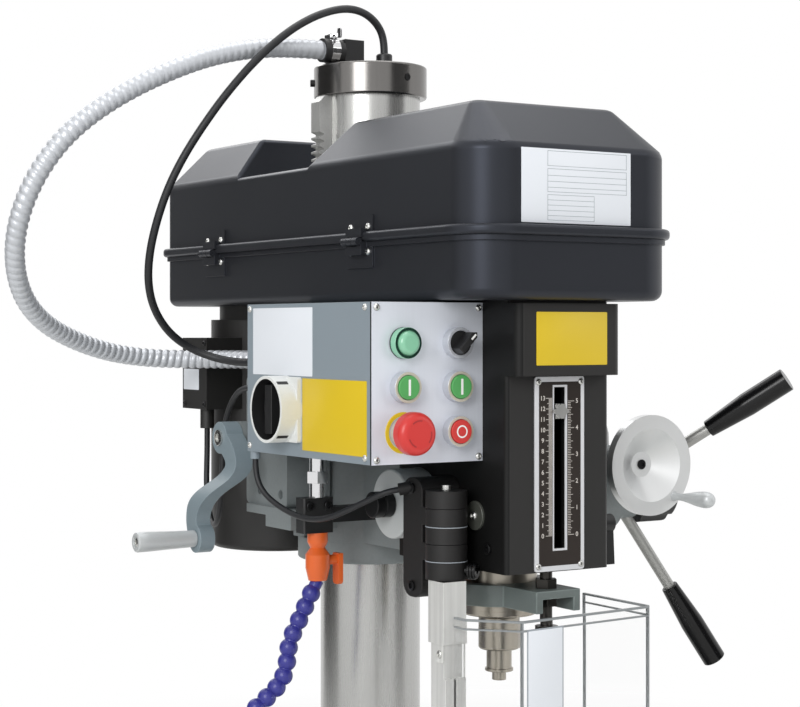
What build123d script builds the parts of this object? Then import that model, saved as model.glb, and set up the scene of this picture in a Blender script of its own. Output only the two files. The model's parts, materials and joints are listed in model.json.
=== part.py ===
"""Belt-driven round-column mill drill with a sliding head, feed gear, controls and guard.

Millimetres. +X is the operator's right, -Y the front, +Z up.
The origin is the centre of the four anchor holes, on the underside of the base.
"""
import os
from math import ceil, cos, pi, radians, sin, sqrt, tan

from build123d import *

os.makedirs("parts", exist_ok=True)

# Fits shared by all pieces
RUNNING_FIT = 0.05
SIDE_GAP = 0.3
SLIDE_GAP = 0.75
SHAFT_ROOM = 3
EDGE_FINE = 1.5
EDGE = 2.5
EDGE_SOFT = 4

# Base
BASE_WIDTH = 430
BASE_DEPTH = 620
BASE_HEIGHT = 70
BASE_TOP = 34
BASE_WALL = 25
BASE_CORNER_R = 30
ANCHOR_INSET = 34
ANCHOR_D = 14
ANCHOR_BOSS = 45
TSLOT_NECK_W = 14
TSLOT_NECK_H = 12
TSLOT_FOOT_W = 24
TSLOT_FOOT_H = 10
TSLOT_PITCH = 120
TSLOT_Y = -150

# Column, its foot, cap, stop ring and rack
COLUMN_Y = 128
COLUMN_D = 110
COLUMN_WALL = 12
COLUMN_TOP = 1155
FOOT_D = 210
FOOT_FLANGE_H = 24
FOOT_SOCKET_WALL = 20
FOOT_HEIGHT = 130
FOOT_BOLT_D = 16
FOOT_BOLT_DEPTH = 20
FOOT_BOLT_HEAD_H = 10
FOOT_BOLT_HEAD_R = 14
FOOT_BOLT_MARGIN = 14
CAP_D = 125
CAP_LAP = 20
CAP_CROWN = 15
HEAD_BOTTOM = 654
STOP_RING_D = 160
STOP_RING_H = 24
GEAR_MODULE = 2.5
GEAR_BACKLASH = 0.35
PRESSURE_ANGLE = 20
ADDENDUM = 0.92
DEDENDUM = 1.25
ROOT_FLANK = 0.55
TIP_FLANK = 1.75
RACK_WIDTH = 18
RACK_THICKNESS = 15
RACK_PLAIN_TOP = 37

# Junction block and gland on the cap
JUNCTION_X = -26
JUNCTION_SIZE = (24, 20, 28)
CONDUIT_RISE = 15
CONDUIT_D = 21
CONDUIT_SLEEVE_WALL = 2.5
CABLE_D = 8.5
CABLE_GLAND_X = 18
CABLE_GLAND_D = 18
CABLE_GLAND_H = 17

# Head casting and quill bore
HEAD_TOP = 908
SLEEVE_R = 85
WEB_WIDTH = 100
WEB_POCKET_WALL = 12
WEB_POCKET_FLOOR = 18
SPINDLE_Y = -120
QUILL_R = 37.5
QUILL_BOSS_R = 54
HEAD_FLAT_X = -78

# Front cover, nose and scale plate
COVER_FRONT = -218
COVER_BACK = -30
COVER_BOTTOM = 651
COVER_HALF_W = 60.5
COVER_WALL = 5
NOSE_BOTTOM = 837
NOSE_TOP = 905
NOSE_DEPTH = 19
NOSE_EDGE_R = 8
SCALE_WIDTH = 58
SCALE_BOTTOM = 652
SCALE_TOP = 836
SCALE_THICKNESS = 2
SCALE_SLOT_W = 13.4
SCALE_SLOT_TOP = 826

# Quill, stop bracket, depth rod and spindle
QUILL_BOTTOM = 599
QUILL_TOP = 860
QUILL_BORE_R = 26
QUILL_TRAVEL = 120
QUILL_HEADROOM = 18
BEARING_H = 20
BRACKET_BOTTOM = 612
BRACKET_H = 21
BRACKET_WALL = 14
BRACKET_ARM_W = 52
BRACKET_FRONT_Y = -218
BRACKET_SKIRT = 8
ROD_Y = -198
ROD_D = 12
ROD_BOTTOM = 588
ROD_TOP = 832
ROD_NUT_D = 22
ROD_NUT_H = 9
POINTER_Z = 803
POINTER_W = 11
POINTER_H = 14
POINTER_PLATE_W = 20
SPINDLE_R = 15
SPINDLE_COLLAR_R = 20.5
SPINDLE_COLLAR_BOTTOM = 564
SPINDLE_COLLAR_TOP = 596
SPLINE_R = 11
SPLINE_TOOTH = 2.5
SPLINE_TOOTH_W = 4
SPLINE_COUNT = 6
SPINDLE_TOP = 1030
TAPER_LENGTH = 80
TAPER_TOP_R = 9
ARBOR_R = 12.5
ARBOR_H = 19
ARBOR_FLANGE_R = 14
ARBOR_FLANGE_H = 3
NIB_R = 7
NIB_H = 9

# Quill feed
FEED_Z = 708
FEED_TEETH = 12
FEED_SHAFT_R = 10
FEED_PINION_W = 20
FEED_BORE_CLEARANCE = 0.7
WORM_HOUSING_R = 42.5
HUB_R = 30
HUB_END = 204
SPOKE_APEX_X = 180
SPOKE_TILT = 32
SPOKE_ANGLES = (40, -80, 160)
SPOKE_R = 6
SPOKE_SOCKET = 16
GRIP_START = 125
GRIP_END = 222
GRIP_R_INNER = 9
GRIP_R_OUTER = 12.5
GRIP_CAP = 8
KNOB_START = 212
KNOB_END = 248
KNOB_R = 35
KNOB_NECK_R = 16
KNOB_FLUTE_R = 9
KNOB_FLUTES = 6
FINE_X = 150
FINE_RISE = 35
FINE_FRONT_Y = -175
FINE_WHEEL_R = 51
FINE_RIM_W = 14
FINE_RIM_H = 9
FINE_DISH = 17
FINE_WALL = 4
FINE_HUB_R = 13
FINE_SHAFT_R = 9
FINE_BOSS_R = 17
FINE_BOSS_FRONT = -142
FINE_SHAFT_BACK = -40
FINE_HANDLE_ANGLE = -48
FINE_HANDLE_L = 58
FINE_HANDLE_FOOT_R = 5
FINE_HANDLE_NECK_R = 4
FINE_HANDLE_R = 8
FINE_NECK_AT = 0.25
FINE_BULGE_AT = 0.72
FINE_FOOT_SLOPE = 0.4
SPRING_CAP_R = 34.5
SPRING_CAP_DEPTH = 36
SPRING_CAP_WALL = 3.5
SPRING_NUT_R = 13
SPRING_NUT_H = 11

# Quill lock
LOCK_Y = -190
LOCK_Z = 690
LOCK_HUB_R = 9
LOCK_STUD_R = 5
LOCK_LENGTH = 24
LOCK_LEVER_L = 40
LOCK_LEVER_W = 14

# Elevating gear and crank
CRANK_Y = 150
CRANK_Z = 765
WORM_R = 9
WHEEL_R = 19.5
WHEEL_W = 14
MESH_GAP = 0.5
ELEVATE_TEETH = 14
ELEVATE_SHAFT_R = 5.5
GEARBOX_FACE_X = -130
GEARBOX_FRONT = 82
GEARBOX_BACK = 174
GEARBOX_BOTTOM = 692
GEARBOX_TOP = 830
GEARBOX_WALL = 7
GEARBOX_HOLE_D = 10
GEARBOX_HOLE_DEPTH = 5
GEARBOX_HOLES = ((96, 706), (143, 708))
LEDGE_X = -134
LEDGES = ((66, 166, 683), (66, 122, 671))
CRANK_SHAFT_R = 8
CRANK_FACE_X = -175
CRANK_THICKNESS = 20
CRANK_DROP = 106
CRANK_BOSS_R = 17
CRANK_BAND = 24
CRANK_SWAY = 24
CRANK_RETURN = 7
CRANK_SWAY_AT = 0.36
CRANK_RETURN_AT = 0.72
CRANK_END_R = 15
CRANK_END_FACE_X = -204
CRANK_END_L = 17
CRANK_STEP_TOP = 743
CRANK_STEP_BOTTOM = 690
CRANK_PIN_R = 5
HANDLE_L = 68
HANDLE_R = 10.5
HANDLE_NECK_R = 8
HANDLE_BULGE_AT = 0.6

# Belt tray, lid and hinges
TRAY_FRONT = -256
TRAY_BACK = 408
TRAY_HALF_W = 119
TRAY_WALL = 4
TRAY_FRONT_R = 45
TRAY_BACK_R = 16
TRAY_RIM_Z = 967
TRAY_BOTTOM_R = 10
TRAY_RIM_OVERHANG = 3
TRAY_RIM_H = 5
LID_RIM_OVERHANG = 7.5
LID_RIM_H = 10
LID_SHOULDER = 1050
LID_TOP = 1096
LID_SIDE_INSET = 37
LID_FRONT_INSET = 57
LID_BACK_INSET = 37
LID_TOP_FRONT_R = 10
LID_TOP_BACK_R = 8
LID_WALL = 3
LID_GAP = 1
VALLEY_FRONT = 59
VALLEY_FRONT_LEAN = 36
VALLEY_BACK = 218
VALLEY_BACK_LEAN = 10
COLUMN_NOTCH_HALF = 68
COLUMN_NOTCH_X = -76
CHEEK_INNER_X = 66
CHEEK_TOP = 1046
HINGE_YS = (-52, 271)
HINGE_WIDTH = 30
HINGE_R = 4
HINGE_PIN_R = 2
HINGE_X = -131
HINGE_LEAF_H = 26
HINGE_LEAF_W = 50
HINGE_LEAF_T = 2
HINGE_WEB_H = 13
HINGE_PAD_X = -128.5
HINGE_CLEAR = 0.5

# Belt drive and motor
MOTOR_X = -12
MOTOR_Y = 320
PULLEY_BOTTOM = 922
PULLEY_STEP = 18
SPINDLE_STEPS = (109, 102, 95)
MOTOR_STEPS = (44, 51, 58)
GROOVE_W = 12.5
GROOVE_DEPTH = 9
GROOVE_FLOOR_W = 6.25
PULLEY_WALL = 7
BELT_PAIR = 1
BELT_W = 10
BELT_INNER_W = 5.4
BELT_H = 8
BELT_SINK = 0.5
PULLEY_HUB_R = 27
PULLEY_HUB_BOTTOM = 880
MOTOR_R = 80
MOTOR_BOTTOM = 625
MOTOR_TOP = 892
MOTOR_WALL = 6
MOTOR_FAN_H = 42
MOTOR_SHAFT_R = 12
MOTOR_CORE_R = 48
VENT_RINGS = (30, 52)
VENT_COUNT = 10
VENT_L = 14
VENT_W = 5
MOTOR_PLATE_HALF_W = 70
TERMINAL_FACE_X = -127
TERMINAL_Y = 311
TERMINAL_W = 63
TERMINAL_BOTTOM = 789
TERMINAL_TOP = 871
MOTOR_CABLE_D = 6.5
MOTOR_GLAND_R = 8

# Control box
BOX_LEFT = -184
BOX_FRONT = -179
BOX_BACK = 67
BOX_BOTTOM = 756
BOX_TOP = 906
BOX_WALL = 2
PANEL_THICKNESS = 2.5
BUTTON_COLUMNS = (-150, -92)
BUTTON_ROWS = (868, 827, 785)
BUTTON_HOLE_D = 22.4
BEZEL_D = 29
BEZEL_H = 10
BEZEL_FLOOR = 2
BEZEL_BORE_D = 23
BEZEL_SLEEVE_L = 20
STEM_D = 18
CAP_R = 11.2
BUTTON_TRAVEL = 4
BUTTON_PROUD = 2
LAMP_PROUD = 5
STOP_HEAD_D = 40
STOP_HEAD_H = 15
STOP_GAP = 1
SELECTOR_H = 13
SELECTOR_RIDGE_W = 7
SELECTOR_TIP = 14
SELECTOR_ANGLE = 45
SELECTOR_EDGE = 1.2
SWITCH_Y = -16
SWITCH_Z = 802
SWITCH_BASE = 64
SWITCH_BASE_H = 5
SWITCH_R = 33
SWITCH_H = 23
SWITCH_WALL = 3
SWITCH_KNOB_R = 27
SWITCH_KNOB_H = 15
SWITCH_STEM_R = 5
SWITCH_GRIP_W = 14
CABLE_INLET_R = 8
MOTOR_INLET_R = 6
GUARD_INLET_R = 5

# Coolant block, valve and hose
COOLANT_X = -129.5
COOLANT_Y = 23.5
COOLANT_BLOCK = (35, 18, 36)
COOLANT_BLOCK_BOTTOM = 673
COOLANT_ARM_H = 16
VALVE_X = -126
VALVE_Y = 23.5
FITTING_R = 8.5
FITTING_TOP = 750
FITTING_HEX = 24
FITTING_HEX_H = 12
VALVE_R = 12.5
VALVE_H = 49
VALVE_STEPS = ((0.84, 0), (0.84, 0.2), (0.6, 0.32), (1, 0.46), (1, 0.74), (0.76, 1))
VALVE_AXIS_DROP = 29
VALVE_STEM_R = 5
VALVE_STEM_L = 9
VALVE_LEVER_L = 32
VALVE_LEVER_W = 13
VALVE_LEVER_T = 5
HOSE_R = 9.5
HOSE_NECK_R = 6.5
NOZZLE_L = 34
NOZZLE_TIP_R = 4

# Guard
GUARD_PIVOT_X = -90
GUARD_PIVOT_Y = -161
KNUCKLE_R = 20
KNUCKLE_H = 16.8
KNUCKLE_COUNT = 5
KNUCKLE_BOTTOM = 644
GUARD_PIN_R = 5
GUARD_BOLT_H = 5
GUARD_PLATE_X = -104
GUARD_PLATE_FRONT = -140
GUARD_PLATE_BACK = -106
GUARD_PLATE_BOTTOM = 623
GUARD_PLATE_TOP = 738
GUARD_PLATE_R = 14
GUARD_GLAND_R = 6
GUARD_GLAND_L = 16
GUARD_CABLE_D = 6
PROFILE_X = -95
PROFILE_Y = -170
PROFILE_W = 26
PROFILE_WALL = 1.8
PROFILE_BOTTOM = 585
PROFILE_GAP = 0.2
SLIDE_TOP = 610
SHIELD_BOTTOM = 421
SHIELD_TOP = 611
SHIELD_T = 3
SHIELD_BEND = 6
RIB_T = 3
RIB_TOP = 553
SHIELD_FRONT_Y = -240
SHIELD_RIGHT_X = 105
SHIELD_RIGHT_Y = -226
SHIELD_CORNER_X = -58
SHIELD_SIDE_Y = -201
SHIELD_END_Y = -121

# Cord routes: points chosen by eye along the visible loops
ARC_SHARE = 0.45
CONDUIT_ROUTE = [
    (-62, 128, 1185), (-118, 128, 1185), (-190, 128, 1171), (-256, 128, 1144), (-310, 129, 1114),
    (-352, 132, 1081), (-379, 139, 1045), (-394, 151, 1007), (-396, 170, 971), (-386, 194, 938),
    (-366, 219, 909), (-335, 243, 886), (-295, 263, 869), (-254, 277, 857), (-220, 283, 851),
    (-188, 281, 848), (-157, 270, 847), (-131, 251, 847), (-112, 226, 847), (-99, 197, 847),
    (-94, 166, 846), (-93, 133, 846), (-93, 100, 846),
]
CABLE_ROUTE = [
    (18, 128, 1187), (18, 128, 1202), (10, 127, 1218), (-8, 123, 1229), (-31, 118, 1232),
    (-57, 113, 1227), (-87, 110, 1215), (-119, 108, 1195), (-153, 109, 1165), (-184, 114, 1129),
    (-208, 121, 1094), (-226, 130, 1062), (-239, 140, 1030), (-247, 151, 996), (-250, 164, 961),
    (-245, 179, 929), (-230, 196, 901), (-207, 207, 876), (-180, 209, 859), (-157, 196, 849),
    (-143, 173, 845), (-136, 148, 845), (-134, 123, 846), (-134, 100, 846),
]
MOTOR_CABLE_ROUTE = [
    (-116, 300, 767), (-116, 300, 747), (-117, 299, 725), (-119, 296, 703), (-121, 288, 683),
    (-125, 274, 667), (-130, 256, 660), (-135, 238, 663), (-139, 223, 675), (-142, 213, 694),
    (-143, 208, 716), (-143, 206, 739), (-143, 203, 762), (-144, 195, 784), (-145, 181, 801),
    (-146, 163, 813), (-147, 143, 818), (-148, 123, 818), (-148, 103, 816), (-148, 82, 816),
]
GUARD_CABLE_ROUTE = [
    (-178, 61, 748), (-178, 61, 731), (-174, 50, 712), (-164, 24, 697), (-155, -6, 690),
    (-148, -36, 693), (-139, -62, 704), (-134, -81, 712), (-129, -97, 719), (-122, -107, 724),
    (-113, -112, 726),
]
HOSE_ROUTE = [
    (-134, 23, 611), (-141, 23, 598), (-148, 23, 585), (-155, 23, 572), (-160, 23, 558),
    (-162, 23, 544), (-166, 23, 530), (-174, 23, 519), (-185, 23, 510), (-197, 23, 501), (-209, 23, 492),
]

# Values worked out from the sizes above
COLUMN_R = COLUMN_D / 2
CAP_BOTTOM = COLUMN_TOP - CAP_LAP
CAP_TOP = COLUMN_TOP + CAP_CROWN
GEAR_PITCH = pi * GEAR_MODULE
TOOTH_DEPTH = (1 + DEDENDUM) * GEAR_MODULE
FEED_PITCH_R = FEED_TEETH * GEAR_MODULE / 2
FEED_Y = SPINDLE_Y + QUILL_R - GEAR_MODULE + FEED_PITCH_R
RACK_FACE_X = -COLUMN_R - RACK_THICKNESS
ELEVATE_PITCH_R = ELEVATE_TEETH * GEAR_MODULE / 2
ELEVATE_X = RACK_FACE_X + GEAR_MODULE - ELEVATE_PITCH_R
ELEVATE_Z = CRANK_Z + WORM_R + MESH_GAP + WHEEL_R
PANEL_BACK = BOX_FRONT + PANEL_THICKNESS
BEZEL_SEAT = BOX_FRONT - BEZEL_FLOOR
BEZEL_FACE = BOX_FRONT - BEZEL_H
LEFT_X, RIGHT_X = BUTTON_COLUMNS
LAMP_ROW, START_ROW, STOP_ROW = BUTTON_ROWS
TRAY_FLOOR = HEAD_TOP + TRAY_WALL
PULLEY_TOP = PULLEY_BOTTOM + PULLEY_STEP * len(SPINDLE_STEPS)
BELT_Z = PULLEY_BOTTOM + PULLEY_STEP * (BELT_PAIR + 0.5)
WORM_HOUSING_END = FINE_X + FINE_BOSS_R
FINE_Z = FEED_Z + FINE_RISE
FINE_BACK_Y = FINE_FRONT_Y + FINE_DISH + FINE_WALL
SCALE_SLOT_BOTTOM = POINTER_Z - QUILL_TRAVEL - POINTER_H / 2 - SHAFT_ROOM
UPWARD = (0, 0, 1)
RIGHTWARD = (1, 0, 0)
LEFTWARD = (-1, 0, 0)
BACKWARD = (0, 1, 0)
FRONTWARD = (0, -1, 0)


def rod(start, direction, length, radius, mode=Mode.ADD):
    """A round bar from a point along a direction, added to the part in hand."""
    with Locations(Plane(origin=start, z_dir=direction)):
        Cylinder(radius, length, align=(Align.CENTER, Align.CENTER, Align.MIN), mode=mode)


def block(low, high, mode=Mode.ADD):
    """A box between two corners, added to the part in hand."""
    size = [high[i] - low[i] for i in range(3)]
    with Locations(tuple((low[i] + high[i]) / 2 for i in range(3))):
        Box(*size, mode=mode)


def keep(builder, node):
    """Label a finished piece and write it as a node."""
    builder.part.label = node
    export_step(builder.part, f"parts/{node}.step")


def gear_points(teeth, backlash):
    """Outline of a pinion: straight-flanked teeth on the pitch circle, the first one pointing along +x."""
    pitch_r = teeth * GEAR_MODULE / 2
    tip_r = pitch_r + ADDENDUM * GEAR_MODULE
    root_r = pitch_r - DEDENDUM * GEAR_MODULE
    half_tooth = GEAR_PITCH / 4 - backlash
    flank = tan(radians(PRESSURE_ANGLE))
    points = []
    for index in range(teeth):
        centre = 2 * pi * index / teeth
        half_root = (half_tooth + (pitch_r - root_r) * flank * ROOT_FLANK) / pitch_r
        half_pitch = half_tooth / pitch_r
        half_tip = (half_tooth - (tip_r - pitch_r) * flank * TIP_FLANK) / pitch_r
        for radius, turn in ((root_r, -half_root), (pitch_r, -half_pitch), (tip_r, -half_tip),
                             (tip_r, half_tip), (pitch_r, half_pitch), (root_r, half_root)):
            points.append((radius * cos(centre + turn), radius * sin(centre + turn)))
    return points


def rack_gap():
    """Outline of one rack tooth space: mouth on the local x axis, depth along +y."""
    flank = tan(radians(PRESSURE_ANGLE))
    mouth = GEAR_PITCH / 4 + GEAR_MODULE * flank
    foot = GEAR_PITCH / 4 - DEDENDUM * GEAR_MODULE * flank
    return [(-mouth, -EDGE), (-mouth, 0), (-foot, TOOTH_DEPTH),
            (foot, TOOTH_DEPTH), (mouth, 0), (mouth, -EDGE)]


def cord_tube(route, diameter, node):
    """A tube along straight runs joined by the largest tangent arcs, and its radii for a look."""
    points = [Vector(*point) for point in route]
    radii = []
    for before, here, after in zip(points, points[1:], points[2:]):
        turn = (here - before).get_angle(after - here)
        shorter = min((here - before).length, (after - here).length)
        radii.append(ARC_SHARE * shorter / tan(radians(turn / 2)))
    with BuildPart() as tube:
        with BuildLine() as path:
            FilletPolyline(*points, radius=radii)
        with BuildSketch(Plane(origin=path.line @ 0, z_dir=path.line % 0)):
            Circle(diameter / 2)
        sweep(path=path.line)
    keep(tube, node)
    length = path.wire().length
    fullness = tube.part.volume / (length * pi * diameter**2 / 4)
    print(node, "length", round(length, 1), "fullness", round(fullness, 4))
    print(node, "radii", [round(radius) for radius in radii])


# Base with T-slots and four anchor holes
with BuildPart() as base_casting:
    with BuildSketch():
        RectangleRounded(BASE_WIDTH, BASE_DEPTH, BASE_CORNER_R)
    extrude(amount=BASE_HEIGHT)
    fillet(base_casting.faces().sort_by(Axis.Z)[-1].edges(), EDGE_SOFT)
    with BuildSketch() as underside:
        Rectangle(BASE_WIDTH - 2 * BASE_WALL, BASE_DEPTH - 2 * BASE_WALL)
        chamfer(underside.vertices(), ANCHOR_BOSS)
    extrude(amount=BASE_HEIGHT - BASE_TOP, mode=Mode.SUBTRACT)
    with BuildSketch(Plane.YZ):
        for slot_y in (TSLOT_Y - TSLOT_PITCH / 2, TSLOT_Y + TSLOT_PITCH / 2):
            with Locations((slot_y, BASE_HEIGHT - TSLOT_NECK_H / 2)):
                Rectangle(TSLOT_NECK_W, TSLOT_NECK_H)
            with Locations((slot_y, BASE_HEIGHT - TSLOT_NECK_H - TSLOT_FOOT_H / 2)):
                Rectangle(TSLOT_FOOT_W, TSLOT_FOOT_H)
    extrude(amount=BASE_WIDTH / 2, both=True, mode=Mode.SUBTRACT)
    with Locations((0, 0, BASE_HEIGHT)):
        with GridLocations(BASE_WIDTH - 2 * ANCHOR_INSET, BASE_DEPTH - 2 * ANCHOR_INSET, 2, 2):
            Hole(ANCHOR_D / 2)
    with Locations((0, COLUMN_Y, BASE_HEIGHT)):
        with PolarLocations(FOOT_D / 2 - FOOT_BOLT_MARGIN, 4, start_angle=45):
            Hole(FOOT_BOLT_D / 2 + RUNNING_FIT, FOOT_BOLT_DEPTH)
keep(base_casting, "base_casting")

# Flanged foot that holds the column
with BuildPart() as column_foot:
    rod((0, COLUMN_Y, BASE_HEIGHT), UPWARD, FOOT_FLANGE_H, FOOT_D / 2)
    rod((0, COLUMN_Y, BASE_HEIGHT), UPWARD, FOOT_HEIGHT, COLUMN_R + FOOT_SOCKET_WALL)
    fillet(column_foot.edges().filter_by(GeomType.CIRCLE).sort_by(Axis.Z)[-1], EDGE_SOFT)
    rod((0, COLUMN_Y, BASE_HEIGHT), UPWARD, FOOT_HEIGHT, COLUMN_R + RUNNING_FIT, Mode.SUBTRACT)
    with Locations((0, COLUMN_Y, BASE_HEIGHT + FOOT_FLANGE_H)):
        with PolarLocations(FOOT_D / 2 - FOOT_BOLT_MARGIN, 4, start_angle=45):
            Hole(FOOT_BOLT_D / 2 + RUNNING_FIT, FOOT_FLANGE_H)
keep(column_foot, "column_foot")

with BuildPart() as foot_bolts:
    with BuildSketch(Plane.XY.offset(BASE_HEIGHT + FOOT_FLANGE_H)):
        with Locations((0, COLUMN_Y)):
            with PolarLocations(FOOT_D / 2 - FOOT_BOLT_MARGIN, 4, start_angle=45):
                RegularPolygon(FOOT_BOLT_HEAD_R, 6)
    extrude(amount=FOOT_BOLT_HEAD_H)
    with BuildSketch(Plane.XY.offset(BASE_HEIGHT + FOOT_FLANGE_H)):
        with Locations((0, COLUMN_Y)):
            with PolarLocations(FOOT_D / 2 - FOOT_BOLT_MARGIN, 4, start_angle=45):
                Circle(FOOT_BOLT_D / 2)
    extrude(amount=-FOOT_FLANGE_H - FOOT_BOLT_DEPTH)
keep(foot_bolts, "foot_bolts")

# Column tube, cap, stop ring and rack
with BuildPart() as column:
    rod((0, COLUMN_Y, BASE_HEIGHT), UPWARD, COLUMN_TOP - BASE_HEIGHT, COLUMN_R)
    rod((0, COLUMN_Y, BASE_HEIGHT), UPWARD, COLUMN_TOP - BASE_HEIGHT, COLUMN_R - COLUMN_WALL, Mode.SUBTRACT)
keep(column, "column")

with BuildPart() as column_cap:
    rod((0, COLUMN_Y, CAP_BOTTOM), UPWARD, CAP_TOP - CAP_BOTTOM, CAP_D / 2)
    fillet(column_cap.edges().filter_by(GeomType.CIRCLE), EDGE)
    rod((0, COLUMN_Y, CAP_BOTTOM), UPWARD, COLUMN_TOP - CAP_BOTTOM, COLUMN_R + RUNNING_FIT, Mode.SUBTRACT)
keep(column_cap, "column_cap")

with BuildPart() as stop_ring:
    ring_start = (0, COLUMN_Y, HEAD_BOTTOM - STOP_RING_H)
    rod(ring_start, UPWARD, STOP_RING_H, STOP_RING_D / 2)
    fillet(stop_ring.edges().filter_by(GeomType.CIRCLE).sort_by(Axis.Z)[0], EDGE)
    rod(ring_start, UPWARD, STOP_RING_H, COLUMN_R + RUNNING_FIT, Mode.SUBTRACT)
keep(stop_ring, "stop_ring")

with BuildPart() as column_rack:
    block((RACK_FACE_X, COLUMN_Y - RACK_WIDTH / 2, HEAD_BOTTOM), (0, COLUMN_Y + RACK_WIDTH / 2, CAP_BOTTOM))
    top_edge = column_rack.edges().filter_by(Axis.Y).group_by(Axis.X)[0].sort_by(Axis.Z)[-1]
    chamfer(top_edge, RACK_THICKNESS / 2)
    rod((0, COLUMN_Y, HEAD_BOTTOM), UPWARD, CAP_BOTTOM - HEAD_BOTTOM, COLUMN_R + RUNNING_FIT, Mode.SUBTRACT)
    with BuildSketch(Plane(origin=(RACK_FACE_X, COLUMN_Y, ELEVATE_Z), x_dir=UPWARD, z_dir=BACKWARD)):
        lower_teeth = int((ELEVATE_Z - HEAD_BOTTOM) / GEAR_PITCH)
        upper_teeth = int((CAP_BOTTOM - RACK_PLAIN_TOP - ELEVATE_Z) / GEAR_PITCH)
        for tooth in range(-lower_teeth, upper_teeth + 1):
            with Locations((tooth * GEAR_PITCH, 0)):
                Polygon(*rack_gap(), align=None)
    extrude(amount=RACK_WIDTH, both=True, mode=Mode.SUBTRACT)
keep(column_rack, "column_rack")

# Junction block with the conduit sleeve, and the cable gland beside it
with BuildPart() as junction_block:
    rod((CABLE_GLAND_X, COLUMN_Y, CAP_TOP), UPWARD, CABLE_GLAND_H, CABLE_GLAND_D / 2)
    fillet(junction_block.edges().filter_by(GeomType.CIRCLE).sort_by(Axis.Z)[-1], EDGE)
    with Locations((JUNCTION_X, COLUMN_Y, CAP_TOP)):
        Box(*JUNCTION_SIZE, align=(Align.CENTER, Align.CENTER, Align.MIN))
    sleeve_x = JUNCTION_X - JUNCTION_SIZE[0] / 2
    sleeve_start = (sleeve_x, COLUMN_Y, CAP_TOP + CONDUIT_RISE)
    rod(sleeve_start, LEFTWARD, sleeve_x - CONDUIT_ROUTE[0][0], CONDUIT_D / 2 + CONDUIT_SLEEVE_WALL)
keep(junction_block, "junction_block")

cord_tube(CONDUIT_ROUTE, CONDUIT_D, "flexible_conduit")
cord_tube(CABLE_ROUTE, CABLE_D, "power_cable")

# Head casting: column sleeve, hollow web and quill boss
with BuildPart() as head_casting:
    with BuildSketch(Plane.XY.offset(HEAD_BOTTOM)):
        with Locations((0, COLUMN_Y)):
            Circle(SLEEVE_R)
        with Locations((0, SPINDLE_Y)):
            Circle(QUILL_BOSS_R)
        with Locations((0, (COLUMN_Y + SPINDLE_Y) / 2)):
            Rectangle(WEB_WIDTH, COLUMN_Y - SPINDLE_Y)
    extrude(amount=HEAD_TOP - HEAD_BOTTOM)
    with BuildSketch(Plane.XY.offset(MOTOR_TOP)):
        with Locations((MOTOR_X, (COLUMN_Y + MOTOR_Y) / 2)):
            Rectangle(2 * MOTOR_PLATE_HALF_W, MOTOR_Y - COLUMN_Y)
        with Locations((MOTOR_X, MOTOR_Y)):
            Circle(MOTOR_PLATE_HALF_W)
            Circle(MOTOR_SHAFT_R + SHAFT_ROOM, mode=Mode.SUBTRACT)
    extrude(amount=HEAD_TOP - MOTOR_TOP)
    sleeve_low = (-SLEEVE_R - SHAFT_ROOM, COLUMN_Y - SLEEVE_R, HEAD_BOTTOM)
    block(sleeve_low, (HEAD_FLAT_X, COLUMN_Y + SLEEVE_R, HEAD_TOP), Mode.SUBTRACT)
    rod((0, COLUMN_Y, HEAD_BOTTOM), UPWARD, HEAD_TOP - HEAD_BOTTOM, COLUMN_R + RUNNING_FIT, Mode.SUBTRACT)
    groove = RACK_WIDTH / 2 + SLIDE_GAP
    block((HEAD_FLAT_X, COLUMN_Y - groove, HEAD_BOTTOM), (0, COLUMN_Y + groove, HEAD_TOP), Mode.SUBTRACT)
    pocket_front = FEED_Y + FEED_PITCH_R + GEAR_MODULE + WEB_POCKET_WALL
    pocket_back = COLUMN_Y - COLUMN_R - 2 * WEB_POCKET_WALL
    pocket_half = WEB_WIDTH / 2 - WEB_POCKET_WALL
    pocket_low = (-pocket_half, pocket_front, HEAD_BOTTOM + WEB_POCKET_FLOOR)
    block(pocket_low, (pocket_half, pocket_back, HEAD_TOP), Mode.SUBTRACT)
    spindle_foot = (0, SPINDLE_Y, HEAD_BOTTOM)
    quill_room = QUILL_TOP + QUILL_HEADROOM - HEAD_BOTTOM
    rod(spindle_foot, UPWARD, quill_room, QUILL_R + RUNNING_FIT, Mode.SUBTRACT)
    rod(spindle_foot, UPWARD, HEAD_TOP - HEAD_BOTTOM, PULLEY_HUB_R + RUNNING_FIT, Mode.SUBTRACT)
    # feed pinion bore: open to the right, shaft size to the left
    feed_bore_r = FEED_PITCH_R + GEAR_MODULE + FEED_BORE_CLEARANCE
    feed_left = -FEED_PINION_W / 2 - SIDE_GAP
    rod((feed_left, FEED_Y, FEED_Z), RIGHTWARD, WEB_WIDTH, feed_bore_r, Mode.SUBTRACT)
    rod((-WEB_WIDTH, FEED_Y, FEED_Z), RIGHTWARD, WEB_WIDTH, FEED_SHAFT_R + RUNNING_FIT, Mode.SUBTRACT)
    # room for the elevating worm wheel beside the rack
    wheel_room = CRANK_Y + WHEEL_W / 2 + SHAFT_ROOM - COLUMN_Y
    rod((ELEVATE_X, COLUMN_Y, ELEVATE_Z), BACKWARD, wheel_room, WHEEL_R + SHAFT_ROOM, Mode.SUBTRACT)
keep(head_casting, "head_casting")

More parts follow.
